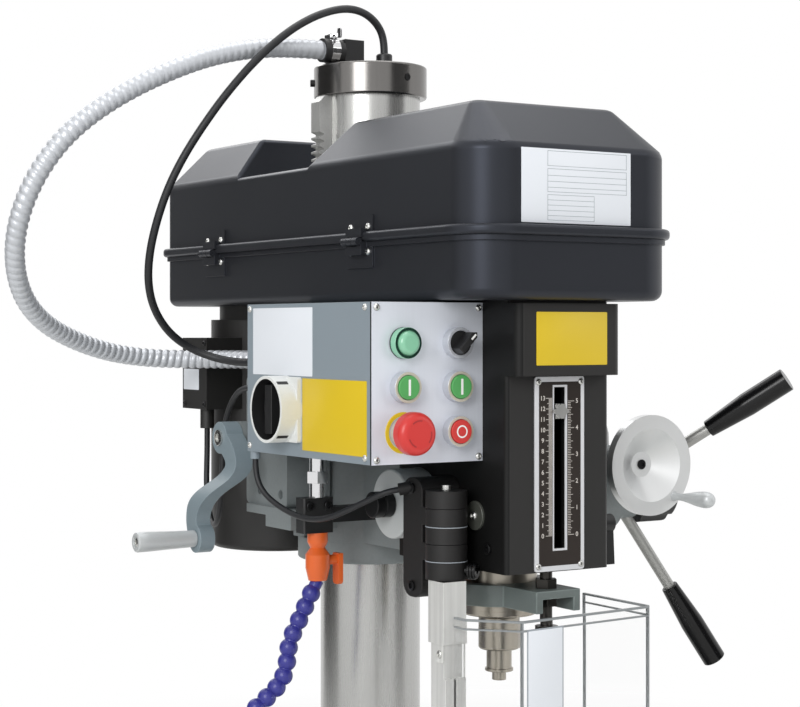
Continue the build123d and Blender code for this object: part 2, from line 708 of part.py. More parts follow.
# Black front cover with the nose, and the depth scale plate on it
with BuildPart() as front_cover:
    with BuildSketch(Plane.XY.offset(COVER_BOTTOM)) as cover_plan:
        with Locations((0, (COVER_FRONT + COVER_BACK) / 2)):
            Rectangle(2 * COVER_HALF_W, COVER_BACK - COVER_FRONT)
        fillet(cover_plan.vertices().group_by(Axis.Y)[0], COVER_WALL)
        inside_depth = COVER_BACK - COVER_FRONT - COVER_WALL
        with Locations((0, COVER_BACK - inside_depth / 2)):
            Rectangle(2 * (COVER_HALF_W - COVER_WALL), inside_depth, mode=Mode.SUBTRACT)
    extrude(amount=HEAD_TOP - COVER_BOTTOM)
    with BuildSketch(Plane.XY.offset(NOSE_BOTTOM)) as nose_outline:
        with Locations((0, COVER_FRONT - NOSE_DEPTH / 2 + COVER_WALL / 2)):
            Rectangle(2 * COVER_HALF_W, NOSE_DEPTH + COVER_WALL)
        fillet(nose_outline.vertices().group_by(Axis.Y)[0], NOSE_EDGE_R)
    extrude(amount=NOSE_TOP - NOSE_BOTTOM)
    slot_half = SCALE_SLOT_W / 2
    slot_low = (-slot_half, COVER_FRONT, SCALE_SLOT_BOTTOM)
    block(slot_low, (slot_half, COVER_FRONT + COVER_WALL, SCALE_SLOT_TOP), Mode.SUBTRACT)
    rod((0, FEED_Y, FEED_Z), RIGHTWARD, 2 * COVER_HALF_W, feed_bore_r + RUNNING_FIT, Mode.SUBTRACT)
    rod((0, FEED_Y, FEED_Z), LEFTWARD, 2 * COVER_HALF_W, FEED_SHAFT_R + RUNNING_FIT, Mode.SUBTRACT)
    rod((0, LOCK_Y, LOCK_Z), RIGHTWARD, 2 * COVER_HALF_W, LOCK_STUD_R + RUNNING_FIT, Mode.SUBTRACT)
keep(front_cover, "front_cover")

with BuildPart() as scale_plate:
    with BuildSketch(Plane.XZ.offset(-COVER_FRONT)):
        with Locations((0, (SCALE_BOTTOM + SCALE_TOP) / 2)):
            RectangleRounded(SCALE_WIDTH, SCALE_TOP - SCALE_BOTTOM, EDGE)
        with Locations((0, (SCALE_SLOT_BOTTOM + SCALE_SLOT_TOP) / 2)):
            Rectangle(SCALE_SLOT_W, SCALE_SLOT_TOP - SCALE_SLOT_BOTTOM, mode=Mode.SUBTRACT)
    extrude(amount=SCALE_THICKNESS)
keep(scale_plate, "scale_plate")

# Quill with its rack, bearings, stop bracket and depth rod
with BuildPart() as quill_sleeve:
    rod((0, SPINDLE_Y, QUILL_BOTTOM), UPWARD, QUILL_TOP - QUILL_BOTTOM, QUILL_R)
    chamfer(quill_sleeve.edges().filter_by(GeomType.CIRCLE), EDGE_FINE)
    rod((0, SPINDLE_Y, QUILL_BOTTOM), UPWARD, QUILL_TOP - QUILL_BOTTOM, QUILL_BORE_R, Mode.SUBTRACT)
    with BuildSketch(Plane(origin=(0, SPINDLE_Y + QUILL_R, FEED_Z), x_dir=UPWARD, z_dir=RIGHTWARD)):
        lower_teeth = ceil(FEED_PITCH_R / GEAR_PITCH) + 1
        upper_teeth = int((QUILL_TOP - FEED_Z) / GEAR_PITCH)
        for tooth in range(-lower_teeth, upper_teeth):
            with Locations((tooth * GEAR_PITCH, 0)):
                Polygon(*rack_gap(), align=None)
    extrude(amount=FEED_PINION_W / 2 + SLIDE_GAP, both=True, mode=Mode.SUBTRACT)
keep(quill_sleeve, "quill_sleeve")

with BuildPart() as spindle_bearings:
    for bearing_z in (QUILL_BOTTOM, QUILL_TOP - BEARING_H):
        rod((0, SPINDLE_Y, bearing_z), UPWARD, BEARING_H, QUILL_BORE_R)
    quill_foot = (0, SPINDLE_Y, QUILL_BOTTOM)
    rod(quill_foot, UPWARD, QUILL_TOP - QUILL_BOTTOM, SPINDLE_R + RUNNING_FIT, Mode.SUBTRACT)
keep(spindle_bearings, "spindle_bearings")

with BuildPart() as stop_bracket:
    with BuildSketch(Plane.XY.offset(BRACKET_BOTTOM)):
        with Locations((0, SPINDLE_Y)):
            Circle(QUILL_R + BRACKET_WALL)
        with Locations((0, (SPINDLE_Y + BRACKET_FRONT_Y) / 2)):
            Rectangle(BRACKET_ARM_W, SPINDLE_Y - BRACKET_FRONT_Y)
    extrude(amount=BRACKET_H)
    rod((0, SPINDLE_Y, BRACKET_BOTTOM), UPWARD, BRACKET_H, QUILL_R, Mode.SUBTRACT)
    rod((0, ROD_Y, BRACKET_BOTTOM), UPWARD, BRACKET_H, ROD_D / 2 + RUNNING_FIT, Mode.SUBTRACT)
    channel_half = BRACKET_ARM_W / 2 - BRACKET_SKIRT
    channel_back = SPINDLE_Y - QUILL_R - BRACKET_WALL
    channel_low = (-channel_half, BRACKET_FRONT_Y, BRACKET_BOTTOM)
    channel_top = BRACKET_BOTTOM + BRACKET_H - BRACKET_SKIRT
    block(channel_low, (channel_half, channel_back, channel_top), Mode.SUBTRACT)
keep(stop_bracket, "stop_bracket")

with BuildPart() as depth_rod:
    rod((0, ROD_Y, ROD_BOTTOM), UPWARD, ROD_TOP - ROD_BOTTOM, ROD_D / 2)
    bracket_top = BRACKET_BOTTOM + BRACKET_H
    lower_nut = bracket_top - BRACKET_SKIRT - ROD_NUT_H
    for nut_z in (lower_nut, bracket_top):
        with BuildSketch(Plane.XY.offset(nut_z)):
            with Locations((0, ROD_Y)):
                RegularPolygon(ROD_NUT_D / 2, 6)
        extrude(amount=ROD_NUT_H)
    rod((0, ROD_Y, ROD_BOTTOM), UPWARD, ROD_NUT_H, ROD_NUT_D / 2)
    # pointer arm through the slot, with a pointed plate in front of the scale
    plate_front = COVER_FRONT - SCALE_THICKNESS - SLIDE_GAP
    pointer_low = (-POINTER_W / 2, plate_front, POINTER_Z - POINTER_H / 2)
    block(pointer_low, (POINTER_W / 2, ROD_Y, POINTER_Z + POINTER_H / 2))
    with BuildSketch(Plane.XZ.offset(-plate_front)):
        with Locations((0, POINTER_Z)):
            Polygon((-POINTER_PLATE_W / 2, 0), (0, POINTER_H / 2),
                    (POINTER_PLATE_W / 2, 0), (0, -POINTER_H / 2), align=None)
    extrude(amount=SCALE_THICKNESS)
keep(depth_rod, "depth_rod")

# Spindle with spline and taper, and the arbor in it
with BuildPart() as spindle_shaft:
    collar_foot = (0, SPINDLE_Y, SPINDLE_COLLAR_BOTTOM)
    rod(collar_foot, UPWARD, QUILL_TOP - SPINDLE_COLLAR_BOTTOM, SPINDLE_R)
    rod(collar_foot, UPWARD, SPINDLE_COLLAR_TOP - SPINDLE_COLLAR_BOTTOM, SPINDLE_COLLAR_R)
    chamfer(spindle_shaft.edges().filter_by(GeomType.CIRCLE).sort_by(Axis.Z)[0], EDGE_FINE)
    with BuildSketch(Plane.XY.offset(QUILL_TOP)):
        with Locations((0, SPINDLE_Y)):
            Circle(SPLINE_R)
            with PolarLocations(SPLINE_R, SPLINE_COUNT):
                Rectangle(2 * SPLINE_TOOTH, SPLINE_TOOTH_W)
    extrude(amount=SPINDLE_TOP - QUILL_TOP)
    taper_top = SPINDLE_COLLAR_BOTTOM + TAPER_LENGTH
    with BuildSketch(Plane.XZ.offset(-SPINDLE_Y)):
        Polygon((0, SPINDLE_COLLAR_BOTTOM), (ARBOR_R, SPINDLE_COLLAR_BOTTOM),
                (TAPER_TOP_R, taper_top), (0, taper_top), align=None)
    revolve(axis=Axis((0, SPINDLE_Y, 0), UPWARD), mode=Mode.SUBTRACT)
keep(spindle_shaft, "spindle_shaft")

with BuildPart() as tool_arbor:
    with BuildSketch(Plane.XZ.offset(-SPINDLE_Y)):
        flange_top = SPINDLE_COLLAR_BOTTOM - ARBOR_H
        nib_top = flange_top - ARBOR_FLANGE_H
        Polygon((0, taper_top), (TAPER_TOP_R, taper_top), (ARBOR_R, SPINDLE_COLLAR_BOTTOM),
                (ARBOR_R, flange_top), (ARBOR_FLANGE_R, flange_top), (ARBOR_FLANGE_R, nib_top),
                (NIB_R, nib_top), (NIB_R, nib_top - NIB_H), (0, nib_top - NIB_H), align=None)
    revolve(axis=Axis((0, SPINDLE_Y, 0), UPWARD))
keep(tool_arbor, "tool_arbor")


def spoke_plane(angle, reach):
    """Plane across one feed spoke at a distance from the hub's apex."""
    lean = radians(SPOKE_TILT)
    turn = radians(angle)
    direction = Vector(sin(lean), -cos(lean) * cos(turn), cos(lean) * sin(turn))
    return Plane(origin=Vector(SPOKE_APEX_X, FEED_Y, FEED_Z) + direction * reach, z_dir=direction)


def spokes(radius, start, end, mode=Mode.ADD):
    """The three spoke rods, or holes for them."""
    for angle in SPOKE_ANGLES:
        with Locations(spoke_plane(angle, start)):
            Cylinder(radius, end - start, align=(Align.CENTER, Align.CENTER, Align.MIN), mode=mode)


# Feed pinion shaft, hub, spokes, grips and clutch knob
with BuildPart() as feed_pinion:
    nut_start = -COVER_HALF_W - SPRING_CAP_DEPTH
    shaft_start = nut_start - 2 * SPRING_NUT_H
    for nut in range(2):
        nut_face = (nut_start - nut * SPRING_NUT_H - SIDE_GAP, FEED_Y, FEED_Z)
        rod(nut_face, LEFTWARD, SPRING_NUT_H - SIDE_GAP, SPRING_NUT_R)
    fillet(feed_pinion.edges().filter_by(GeomType.CIRCLE), EDGE_FINE)
    rod((shaft_start, FEED_Y, FEED_Z), RIGHTWARD, HUB_END - shaft_start, FEED_SHAFT_R)
    with BuildSketch(Plane(origin=(-FEED_PINION_W / 2, FEED_Y, FEED_Z), x_dir=FRONTWARD, z_dir=RIGHTWARD)):
        Polygon(*gear_points(FEED_TEETH, GEAR_BACKLASH), align=None)
    extrude(amount=FEED_PINION_W)
keep(feed_pinion, "feed_pinion")

with BuildPart() as spring_cap:
    cap_seat = (-COVER_HALF_W, FEED_Y, FEED_Z)
    rod(cap_seat, LEFTWARD, SPRING_CAP_DEPTH, SPRING_CAP_R)
    fillet(spring_cap.edges().filter_by(GeomType.CIRCLE).sort_by(Axis.X)[0], EDGE)
    spring_room = SPRING_CAP_DEPTH - SPRING_CAP_WALL
    rod(cap_seat, LEFTWARD, spring_room, SPRING_CAP_R - SPRING_CAP_WALL, Mode.SUBTRACT)
    rod(cap_seat, LEFTWARD, SPRING_CAP_DEPTH, FEED_SHAFT_R + RUNNING_FIT, Mode.SUBTRACT)
keep(spring_cap, "spring_cap")

with BuildPart() as worm_housing:
    quill_side = sqrt(QUILL_R**2 - (FEED_Y - feed_bore_r - SPINDLE_Y)**2)
    spigot_start = quill_side + SHAFT_ROOM
    spigot_face = (spigot_start, FEED_Y, FEED_Z)
    rod(spigot_face, RIGHTWARD, COVER_HALF_W - spigot_start, feed_bore_r - RUNNING_FIT)
    rod((COVER_HALF_W, FEED_Y, FEED_Z), RIGHTWARD, WORM_HOUSING_END - COVER_HALF_W, WORM_HOUSING_R)
    worm_mouth = (FINE_X, FINE_BOSS_FRONT, FINE_Z)
    worm_length = FINE_SHAFT_BACK - FINE_BOSS_FRONT
    rod(worm_mouth, BACKWARD, worm_length, FINE_BOSS_R)
    rod(spigot_face, RIGHTWARD, WORM_HOUSING_END, FEED_SHAFT_R + RUNNING_FIT, Mode.SUBTRACT)
    rod(worm_mouth, BACKWARD, worm_length, FINE_SHAFT_R + RUNNING_FIT, Mode.SUBTRACT)
keep(worm_housing, "worm_housing")

with BuildPart() as spoke_hub:
    hub_start = WORM_HOUSING_END + SIDE_GAP
    hub_face = (hub_start, FEED_Y, FEED_Z)
    rod(hub_face, RIGHTWARD, HUB_END - hub_start, HUB_R)
    fillet(spoke_hub.edges().filter_by(GeomType.CIRCLE), EDGE)
    rod(hub_face, RIGHTWARD, HUB_END - hub_start, FEED_SHAFT_R + RUNNING_FIT, Mode.SUBTRACT)
    spokes(SPOKE_R + RUNNING_FIT, SPOKE_SOCKET, GRIP_END, Mode.SUBTRACT)
keep(spoke_hub, "spoke_hub")

with BuildPart() as feed_spokes:
    spokes(SPOKE_R, SPOKE_SOCKET, GRIP_END - GRIP_CAP)
keep(feed_spokes, "feed_spokes")

with BuildPart() as spoke_grips:
    for angle in SPOKE_ANGLES:
        with BuildSketch(spoke_plane(angle, GRIP_START)):
            Circle(GRIP_R_INNER)
        with BuildSketch(spoke_plane(angle, (GRIP_START + GRIP_END) / 2)):
            Circle(GRIP_R_OUTER)
        loft()
    spokes(GRIP_R_OUTER, (GRIP_START + GRIP_END) / 2, GRIP_END)
    spokes(SPOKE_R + RUNNING_FIT, GRIP_START, GRIP_END - GRIP_CAP, Mode.SUBTRACT)
keep(spoke_grips, "spoke_grips")

with BuildPart() as clutch_knob:
    rod((HUB_END, FEED_Y, FEED_Z), RIGHTWARD, KNOB_START - HUB_END, KNOB_NECK_R)
    rod((KNOB_START, FEED_Y, FEED_Z), RIGHTWARD, KNOB_END - KNOB_START, KNOB_R)
    fillet(clutch_knob.edges().filter_by(GeomType.CIRCLE).group_by(Axis.X)[-1], EDGE_SOFT)
    with BuildSketch(Plane.YZ.offset(KNOB_START)):
        with Locations((FEED_Y, FEED_Z)):
            with PolarLocations(KNOB_R + KNOB_FLUTE_R / 2, KNOB_FLUTES):
                Circle(KNOB_FLUTE_R)
    extrude(amount=KNOB_END - KNOB_START, mode=Mode.SUBTRACT)
keep(clutch_knob, "clutch_knob")

# Fine feed wheel with its handle and worm shaft
with BuildPart() as fine_wheel:
    with BuildSketch(Plane.YZ.offset(FINE_X)):
        dish_r = FINE_WHEEL_R - FINE_RIM_W
        Polygon((FINE_FRONT_Y, FINE_Z + FINE_WHEEL_R), (FINE_FRONT_Y, FINE_Z + dish_r),
                (FINE_FRONT_Y + FINE_DISH, FINE_Z + FINE_HUB_R), (FINE_FRONT_Y + FINE_DISH, FINE_Z),
                (FINE_BACK_Y, FINE_Z), (FINE_BACK_Y, FINE_Z + FINE_HUB_R + FINE_WALL),
                (FINE_FRONT_Y + FINE_RIM_H, FINE_Z + dish_r + FINE_WALL),
                (FINE_FRONT_Y + FINE_RIM_H, FINE_Z + FINE_WHEEL_R), align=None)
    revolve(axis=Axis((FINE_X, 0, FINE_Z), BACKWARD))
    handle_r = FINE_WHEEL_R - FINE_RIM_W / 2
    handle_x = FINE_X + handle_r * cos(radians(FINE_HANDLE_ANGLE))
    handle_z = FINE_Z + handle_r * sin(radians(FINE_HANDLE_ANGLE))
    with BuildSketch(Plane.YZ.offset(handle_x)):
        with BuildLine():
            tip = (FINE_FRONT_Y - FINE_HANDLE_L, handle_z)
            foot = (FINE_FRONT_Y, handle_z + FINE_HANDLE_FOOT_R)
            neck = (FINE_FRONT_Y - FINE_HANDLE_L * FINE_NECK_AT, handle_z + FINE_HANDLE_NECK_R)
            bulge = (FINE_FRONT_Y - FINE_HANDLE_L * FINE_BULGE_AT, handle_z + FINE_HANDLE_R)
            Spline(foot, neck, bulge, tip, tangents=((-1, -FINE_FOOT_SLOPE), (0, -1)))
            Polyline(tip, (FINE_FRONT_Y, handle_z), foot)
        make_face()
    revolve(axis=Axis((handle_x, 0, handle_z), BACKWARD))
    rod((FINE_X, FINE_BACK_Y, FINE_Z), BACKWARD, FINE_SHAFT_BACK - FINE_BACK_Y, FINE_SHAFT_R)
keep(fine_wheel, "fine_wheel")

# Quill lock lever on the right of the cover
with BuildPart() as quill_lock:
    stud_start = COVER_HALF_W - COVER_WALL
    rod((stud_start, LOCK_Y, LOCK_Z), RIGHTWARD, COVER_WALL + LOCK_LENGTH, LOCK_STUD_R)
    rod((COVER_HALF_W + SIDE_GAP, LOCK_Y, LOCK_Z), RIGHTWARD, LOCK_LENGTH - SIDE_GAP, LOCK_HUB_R)
    with BuildSketch(Plane.YZ.offset(COVER_HALF_W + LOCK_LENGTH / 2)):
        with Locations((LOCK_Y, LOCK_Z)):
            Polygon((-LOCK_LEVER_W / 3, 0), (-LOCK_LEVER_W / 2, -LOCK_LEVER_L),
                    (LOCK_LEVER_W / 2, -LOCK_LEVER_L), (LOCK_LEVER_W / 3, 0), align=None)
    extrude(amount=LOCK_LENGTH / 2)
keep(quill_lock, "quill_lock")

# Elevating gearbox, worm wheel with pinion, crank with worm, and the turning handle
with BuildPart() as elevating_gearbox:
    block((GEARBOX_FACE_X, GEARBOX_FRONT, GEARBOX_BOTTOM), (HEAD_FLAT_X, GEARBOX_BACK, GEARBOX_TOP))
    fillet(elevating_gearbox.edges().filter_by(Axis.X), GEARBOX_WALL)
    for ledge_front, ledge_back, ledge_low in LEDGES:
        block((LEDGE_X, ledge_front, ledge_low), (HEAD_FLAT_X, ledge_back, GEARBOX_BOTTOM))
    for hole_y, hole_z in GEARBOX_HOLES:
        hole_mouth = (GEARBOX_FACE_X, hole_y, hole_z)
        rod(hole_mouth, RIGHTWARD, GEARBOX_HOLE_DEPTH, GEARBOX_HOLE_D / 2, Mode.SUBTRACT)
    crank_inner = CRANK_FACE_X + CRANK_THICKNESS
    boss_length = GEARBOX_FACE_X - crank_inner - SIDE_GAP
    rod((GEARBOX_FACE_X, CRANK_Y, CRANK_Z), LEFTWARD, boss_length, CRANK_BOSS_R)
    cavity_front = COLUMN_Y - RACK_WIDTH / 2 - SIDE_GAP
    cavity_low = (GEARBOX_FACE_X + GEARBOX_WALL, cavity_front, CRANK_Z - WORM_R - MESH_GAP)
    cavity_top = ELEVATE_Z + ELEVATE_PITCH_R + GEAR_MODULE + MESH_GAP
    block(cavity_low, (HEAD_FLAT_X, CRANK_Y + WORM_R + MESH_GAP, cavity_top), Mode.SUBTRACT)
    shaft_front = GEARBOX_FRONT + GEARBOX_WALL
    shaft_length = GEARBOX_BACK - GEARBOX_FRONT - 2 * GEARBOX_WALL
    bore_front = (ELEVATE_X, shaft_front - SIDE_GAP, ELEVATE_Z)
    rod(bore_front, BACKWARD, shaft_length + 2 * SIDE_GAP, ELEVATE_SHAFT_R + RUNNING_FIT, Mode.SUBTRACT)
    crank_bore = (crank_inner, CRANK_Y, CRANK_Z)
    rod(crank_bore, RIGHTWARD, cavity_low[0] - crank_inner, CRANK_SHAFT_R + RUNNING_FIT, Mode.SUBTRACT)
keep(elevating_gearbox, "elevating_gearbox")

with BuildPart() as elevating_pinion:
    rod((ELEVATE_X, shaft_front, ELEVATE_Z), BACKWARD, shaft_length, ELEVATE_SHAFT_R)
    rod((ELEVATE_X, CRANK_Y - WHEEL_W / 2, ELEVATE_Z), BACKWARD, WHEEL_W, WHEEL_R)
    pinion_front = (ELEVATE_X, COLUMN_Y - RACK_WIDTH / 2, ELEVATE_Z)
    with BuildSketch(Plane(origin=pinion_front, x_dir=RIGHTWARD, z_dir=BACKWARD)):
        Polygon(*gear_points(ELEVATE_TEETH, GEAR_BACKLASH), align=None)
    extrude(amount=CRANK_Y - WHEEL_W / 2 - COLUMN_Y + RACK_WIDTH / 2)
keep(elevating_pinion, "elevating_pinion")

with BuildPart() as elevating_crank:
    end_z = CRANK_Z - CRANK_DROP
    with BuildSketch(Plane.YZ.offset(CRANK_END_FACE_X)):
        with BuildLine() as arm_line:
            Spline((CRANK_Y, CRANK_Z), (CRANK_Y - CRANK_SWAY, CRANK_Z - CRANK_DROP * CRANK_SWAY_AT),
                   (CRANK_Y + CRANK_RETURN, CRANK_Z - CRANK_DROP * CRANK_RETURN_AT), (CRANK_Y, end_z))
        trace(line_width=CRANK_BAND)
        with Locations((CRANK_Y, CRANK_Z)):
            Circle(CRANK_BOSS_R)
        with Locations((CRANK_Y, end_z)):
            Circle(CRANK_END_R)
    extrude(amount=crank_inner - CRANK_END_FACE_X)
    # seen from the front, the arm steps outward below the hub
    crank_top = CRANK_Z + CRANK_BOSS_R
    crank_low = end_z - CRANK_END_R
    end_inner = CRANK_END_FACE_X + CRANK_END_L
    with BuildSketch(Plane.XZ.offset(-CRANK_Y)):
        with BuildLine():
            Polyline((CRANK_FACE_X, CRANK_STEP_TOP), (CRANK_FACE_X, crank_top), (crank_inner, crank_top),
                     (crank_inner, CRANK_STEP_TOP))
            Spline((crank_inner, CRANK_STEP_TOP), (end_inner, CRANK_STEP_BOTTOM), tangents=((0, -1), (0, -1)))
            Polyline((end_inner, CRANK_STEP_BOTTOM), (end_inner, crank_low), (CRANK_END_FACE_X, crank_low),
                     (CRANK_END_FACE_X, CRANK_STEP_BOTTOM))
            Spline((CRANK_END_FACE_X, CRANK_STEP_BOTTOM), (CRANK_FACE_X, CRANK_STEP_TOP),
                   tangents=((0, 1), (0, 1)))
        make_face()
    extrude(amount=CRANK_DROP, both=True, mode=Mode.INTERSECT)
    worm_start = (GEARBOX_FACE_X + GEARBOX_WALL + SIDE_GAP, CRANK_Y, CRANK_Z)
    rod(crank_bore, RIGHTWARD, worm_start[0] - crank_inner, CRANK_SHAFT_R)
    rod(worm_start, RIGHTWARD, HEAD_FLAT_X - SIDE_GAP - worm_start[0], WORM_R)
    rod((CRANK_END_FACE_X, CRANK_Y, end_z), LEFTWARD, HANDLE_L - HANDLE_NECK_R, CRANK_PIN_R)
keep(elevating_crank, "elevating_crank")

with BuildPart() as crank_handle:
    handle_start = CRANK_END_FACE_X - SIDE_GAP
    handle_end = CRANK_END_FACE_X - HANDLE_L
    pin_end = handle_end + HANDLE_NECK_R - SIDE_GAP
    bore = CRANK_PIN_R + RUNNING_FIT
    with BuildSketch(Plane.XZ.offset(-CRANK_Y)):
        with BuildLine():
            inner_edge = (handle_start, end_z + HANDLE_NECK_R)
            outer_edge = (handle_end, end_z + HANDLE_NECK_R)
            Polyline(outer_edge, (handle_end, end_z), (pin_end, end_z), (pin_end, end_z + bore),
                     (handle_start, end_z + bore), inner_edge)
            Spline(inner_edge, (handle_start - HANDLE_L * HANDLE_BULGE_AT, end_z + HANDLE_R), outer_edge)
        make_face()
    revolve(axis=Axis((0, CRANK_Y, end_z), RIGHTWARD))
keep(crank_handle, "crank_handle")


def cover_outline(sketch, growth):
    """Plan outline of the belt cover, grown by an amount, drawn in the sketch in hand."""
    with Locations((0, (TRAY_FRONT + TRAY_BACK) / 2)):
        Rectangle(2 * (TRAY_HALF_W + growth), TRAY_BACK - TRAY_FRONT + 2 * growth)
    fillet(sketch.vertices().group_by(Axis.Y)[0], TRAY_FRONT_R + growth)
    fillet(sketch.vertices().group_by(Axis.Y)[-1], TRAY_BACK_R + growth)


def hinge_bars(radius, mode=Mode.ADD):
    """Round bars on the lid hinge axis, over the width of each hinge."""
    for hinge_y in HINGE_YS:
        rod((HINGE_X, hinge_y - HINGE_WIDTH / 2, TRAY_RIM_Z), BACKWARD, HINGE_WIDTH, radius, mode)


def hinge_pad(hinge_y, web_low, web_top, leaf_low, leaf_top):
    """A thin leaf on the cover's side and the thicker web that carries the knuckles."""
    half = HINGE_WIDTH / 2
    leaf_half = HINGE_LEAF_W / 2
    side_x = -TRAY_HALF_W
    block((side_x - HINGE_LEAF_T, hinge_y - leaf_half, leaf_low), (side_x, hinge_y + leaf_half, leaf_top))
    block((HINGE_PAD_X, hinge_y - half, web_low), (side_x, hinge_y + half, web_top))


# Belt tray with its rim, fixed cheek beside the column, hinge ends and loose hinge pins
with BuildPart() as belt_tray:
    with BuildSketch(Plane.XY.offset(HEAD_TOP)) as tray_outline:
        cover_outline(tray_outline, 0)
    extrude(amount=TRAY_RIM_Z - HEAD_TOP)
    fillet(belt_tray.faces().sort_by(Axis.Z)[0].edges(), TRAY_BOTTOM_R)
    offset(amount=-TRAY_WALL, openings=belt_tray.faces().sort_by(Axis.Z)[-1])
    with BuildSketch(Plane.XY.offset(TRAY_RIM_Z - TRAY_RIM_H)) as tray_rim:
        cover_outline(tray_rim, TRAY_RIM_OVERHANG)
        offset(amount=-TRAY_RIM_OVERHANG - TRAY_WALL, mode=Mode.SUBTRACT)
    extrude(amount=TRAY_RIM_H)
    cheek_half = COLUMN_NOTCH_HALF - LID_GAP
    cheek_low = (CHEEK_INNER_X, COLUMN_Y - cheek_half, TRAY_RIM_Z)
    cheek_high = (TRAY_HALF_W, COLUMN_Y + cheek_half, CHEEK_TOP)
    block(cheek_low, cheek_high)
    hollow_high = (TRAY_HALF_W - TRAY_WALL, COLUMN_Y + cheek_half, CHEEK_TOP - TRAY_WALL)
    block(cheek_low, hollow_high, Mode.SUBTRACT)
    pad_low = TRAY_RIM_Z - HINGE_WEB_H
    pad_top = TRAY_RIM_Z - HINGE_R - HINGE_CLEAR
    for hinge_y in HINGE_YS:
        half = HINGE_WIDTH / 2
        hinge_pad(hinge_y, pad_low, pad_top, TRAY_RIM_Z - HINGE_LEAF_H, pad_top)
        for low_y in (hinge_y - half, hinge_y + half - HINGE_WIDTH / 3 + SIDE_GAP):
            end_y = low_y + HINGE_WIDTH / 3 - SIDE_GAP
            block((HINGE_PAD_X, low_y, pad_low), (-TRAY_HALF_W, end_y, TRAY_RIM_Z))
            rod((HINGE_X, low_y, TRAY_RIM_Z), BACKWARD, end_y - low_y, HINGE_R)
    hinge_bars(HINGE_PIN_R + RUNNING_FIT, Mode.SUBTRACT)
    rod((0, COLUMN_Y, HEAD_TOP), UPWARD, TRAY_WALL, COLUMN_R + SHAFT_ROOM, Mode.SUBTRACT)
    rack_half = RACK_WIDTH / 2 + SHAFT_ROOM
    rack_low = (RACK_FACE_X - SHAFT_ROOM, COLUMN_Y - rack_half, HEAD_TOP)
    block(rack_low, (0, COLUMN_Y + rack_half, TRAY_FLOOR), Mode.SUBTRACT)
    rod((0, SPINDLE_Y, HEAD_TOP), UPWARD, TRAY_WALL, PULLEY_HUB_R + SHAFT_ROOM, Mode.SUBTRACT)
    rod((MOTOR_X, MOTOR_Y, HEAD_TOP), UPWARD, TRAY_WALL, MOTOR_SHAFT_R + SHAFT_ROOM, Mode.SUBTRACT)
    hinge_bars(HINGE_PIN_R)
keep(belt_tray, "belt_tray")

# Hinged lid: a thin shell with a raised top, a dip and a notch at the column
lid_forms = []
for wall in (0, LID_WALL):
    with BuildPart() as lid_form:
        with BuildSketch(Plane.XY.offset(TRAY_RIM_Z)) as lid_outline:
            cover_outline(lid_outline, -wall)
        extrude(amount=LID_SHOULDER - TRAY_RIM_Z - wall)
        with BuildSketch(Plane.XY.offset(LID_SHOULDER - wall)) as shoulder_outline:
            cover_outline(shoulder_outline, -wall)
        with BuildSketch(Plane.XY.offset(LID_TOP - wall)) as lid_top:
            top_front = TRAY_FRONT + LID_FRONT_INSET + wall
            top_back = TRAY_BACK - LID_BACK_INSET - wall
            with Locations((0, (top_front + top_back) / 2)):
                Rectangle(2 * (TRAY_HALF_W - LID_SIDE_INSET - wall), top_back - top_front)
            fillet(lid_top.vertices().group_by(Axis.Y)[0], LID_TOP_FRONT_R)
            fillet(lid_top.vertices().group_by(Axis.Y)[-1], LID_TOP_BACK_R)
        loft()
        with BuildSketch(Plane.YZ):
            dip_front = VALLEY_FRONT - wall
            dip_back = VALLEY_BACK + wall
            dip_floor = LID_SHOULDER - wall
            Polygon((dip_front, dip_floor), (dip_front - VALLEY_FRONT_LEAN, LID_TOP),
                    (dip_back + VALLEY_BACK_LEAN, LID_TOP), (dip_back, dip_floor), align=None)
        extrude(amount=TRAY_HALF_W, both=True, mode=Mode.SUBTRACT)
        notch_half = COLUMN_NOTCH_HALF + wall
        notch_low = (COLUMN_NOTCH_X - wall, COLUMN_Y - notch_half, TRAY_RIM_Z)
        block(notch_low, (TRAY_HALF_W, COLUMN_Y + notch_half, LID_TOP), Mode.SUBTRACT)
    lid_forms.append(lid_form.part)

with BuildPart() as belt_lid:
    add(lid_forms[0])
    with BuildSketch(Plane.XY.offset(TRAY_RIM_Z)) as lid_flange:
        cover_outline(lid_flange, LID_RIM_OVERHANG)
        with Locations((TRAY_HALF_W + COLUMN_NOTCH_X, COLUMN_Y)):
            Rectangle(2 * TRAY_HALF_W, 2 * COLUMN_NOTCH_HALF, mode=Mode.SUBTRACT)
    extrude(amount=LID_RIM_H)
    add(lid_forms[1], mode=Mode.SUBTRACT)
    pad_low = TRAY_RIM_Z + HINGE_R + HINGE_CLEAR
    pad_top = TRAY_RIM_Z + HINGE_WEB_H
    for hinge_y in HINGE_YS:
        hinge_pad(hinge_y, pad_low, pad_top, pad_low, TRAY_RIM_Z + HINGE_LEAF_H)
        knuckle_half = HINGE_WIDTH / 6 - SIDE_GAP
        knuckle_low = (HINGE_PAD_X, hinge_y - knuckle_half, TRAY_RIM_Z)
        block(knuckle_low, (-TRAY_HALF_W - LID_RIM_OVERHANG, hinge_y + knuckle_half, pad_top))
        rod((HINGE_X, hinge_y - knuckle_half, TRAY_RIM_Z), BACKWARD, 2 * knuckle_half, HINGE_R)
    hinge_bars(HINGE_PIN_R + RUNNING_FIT, Mode.SUBTRACT)
keep(belt_lid, "belt_lid")


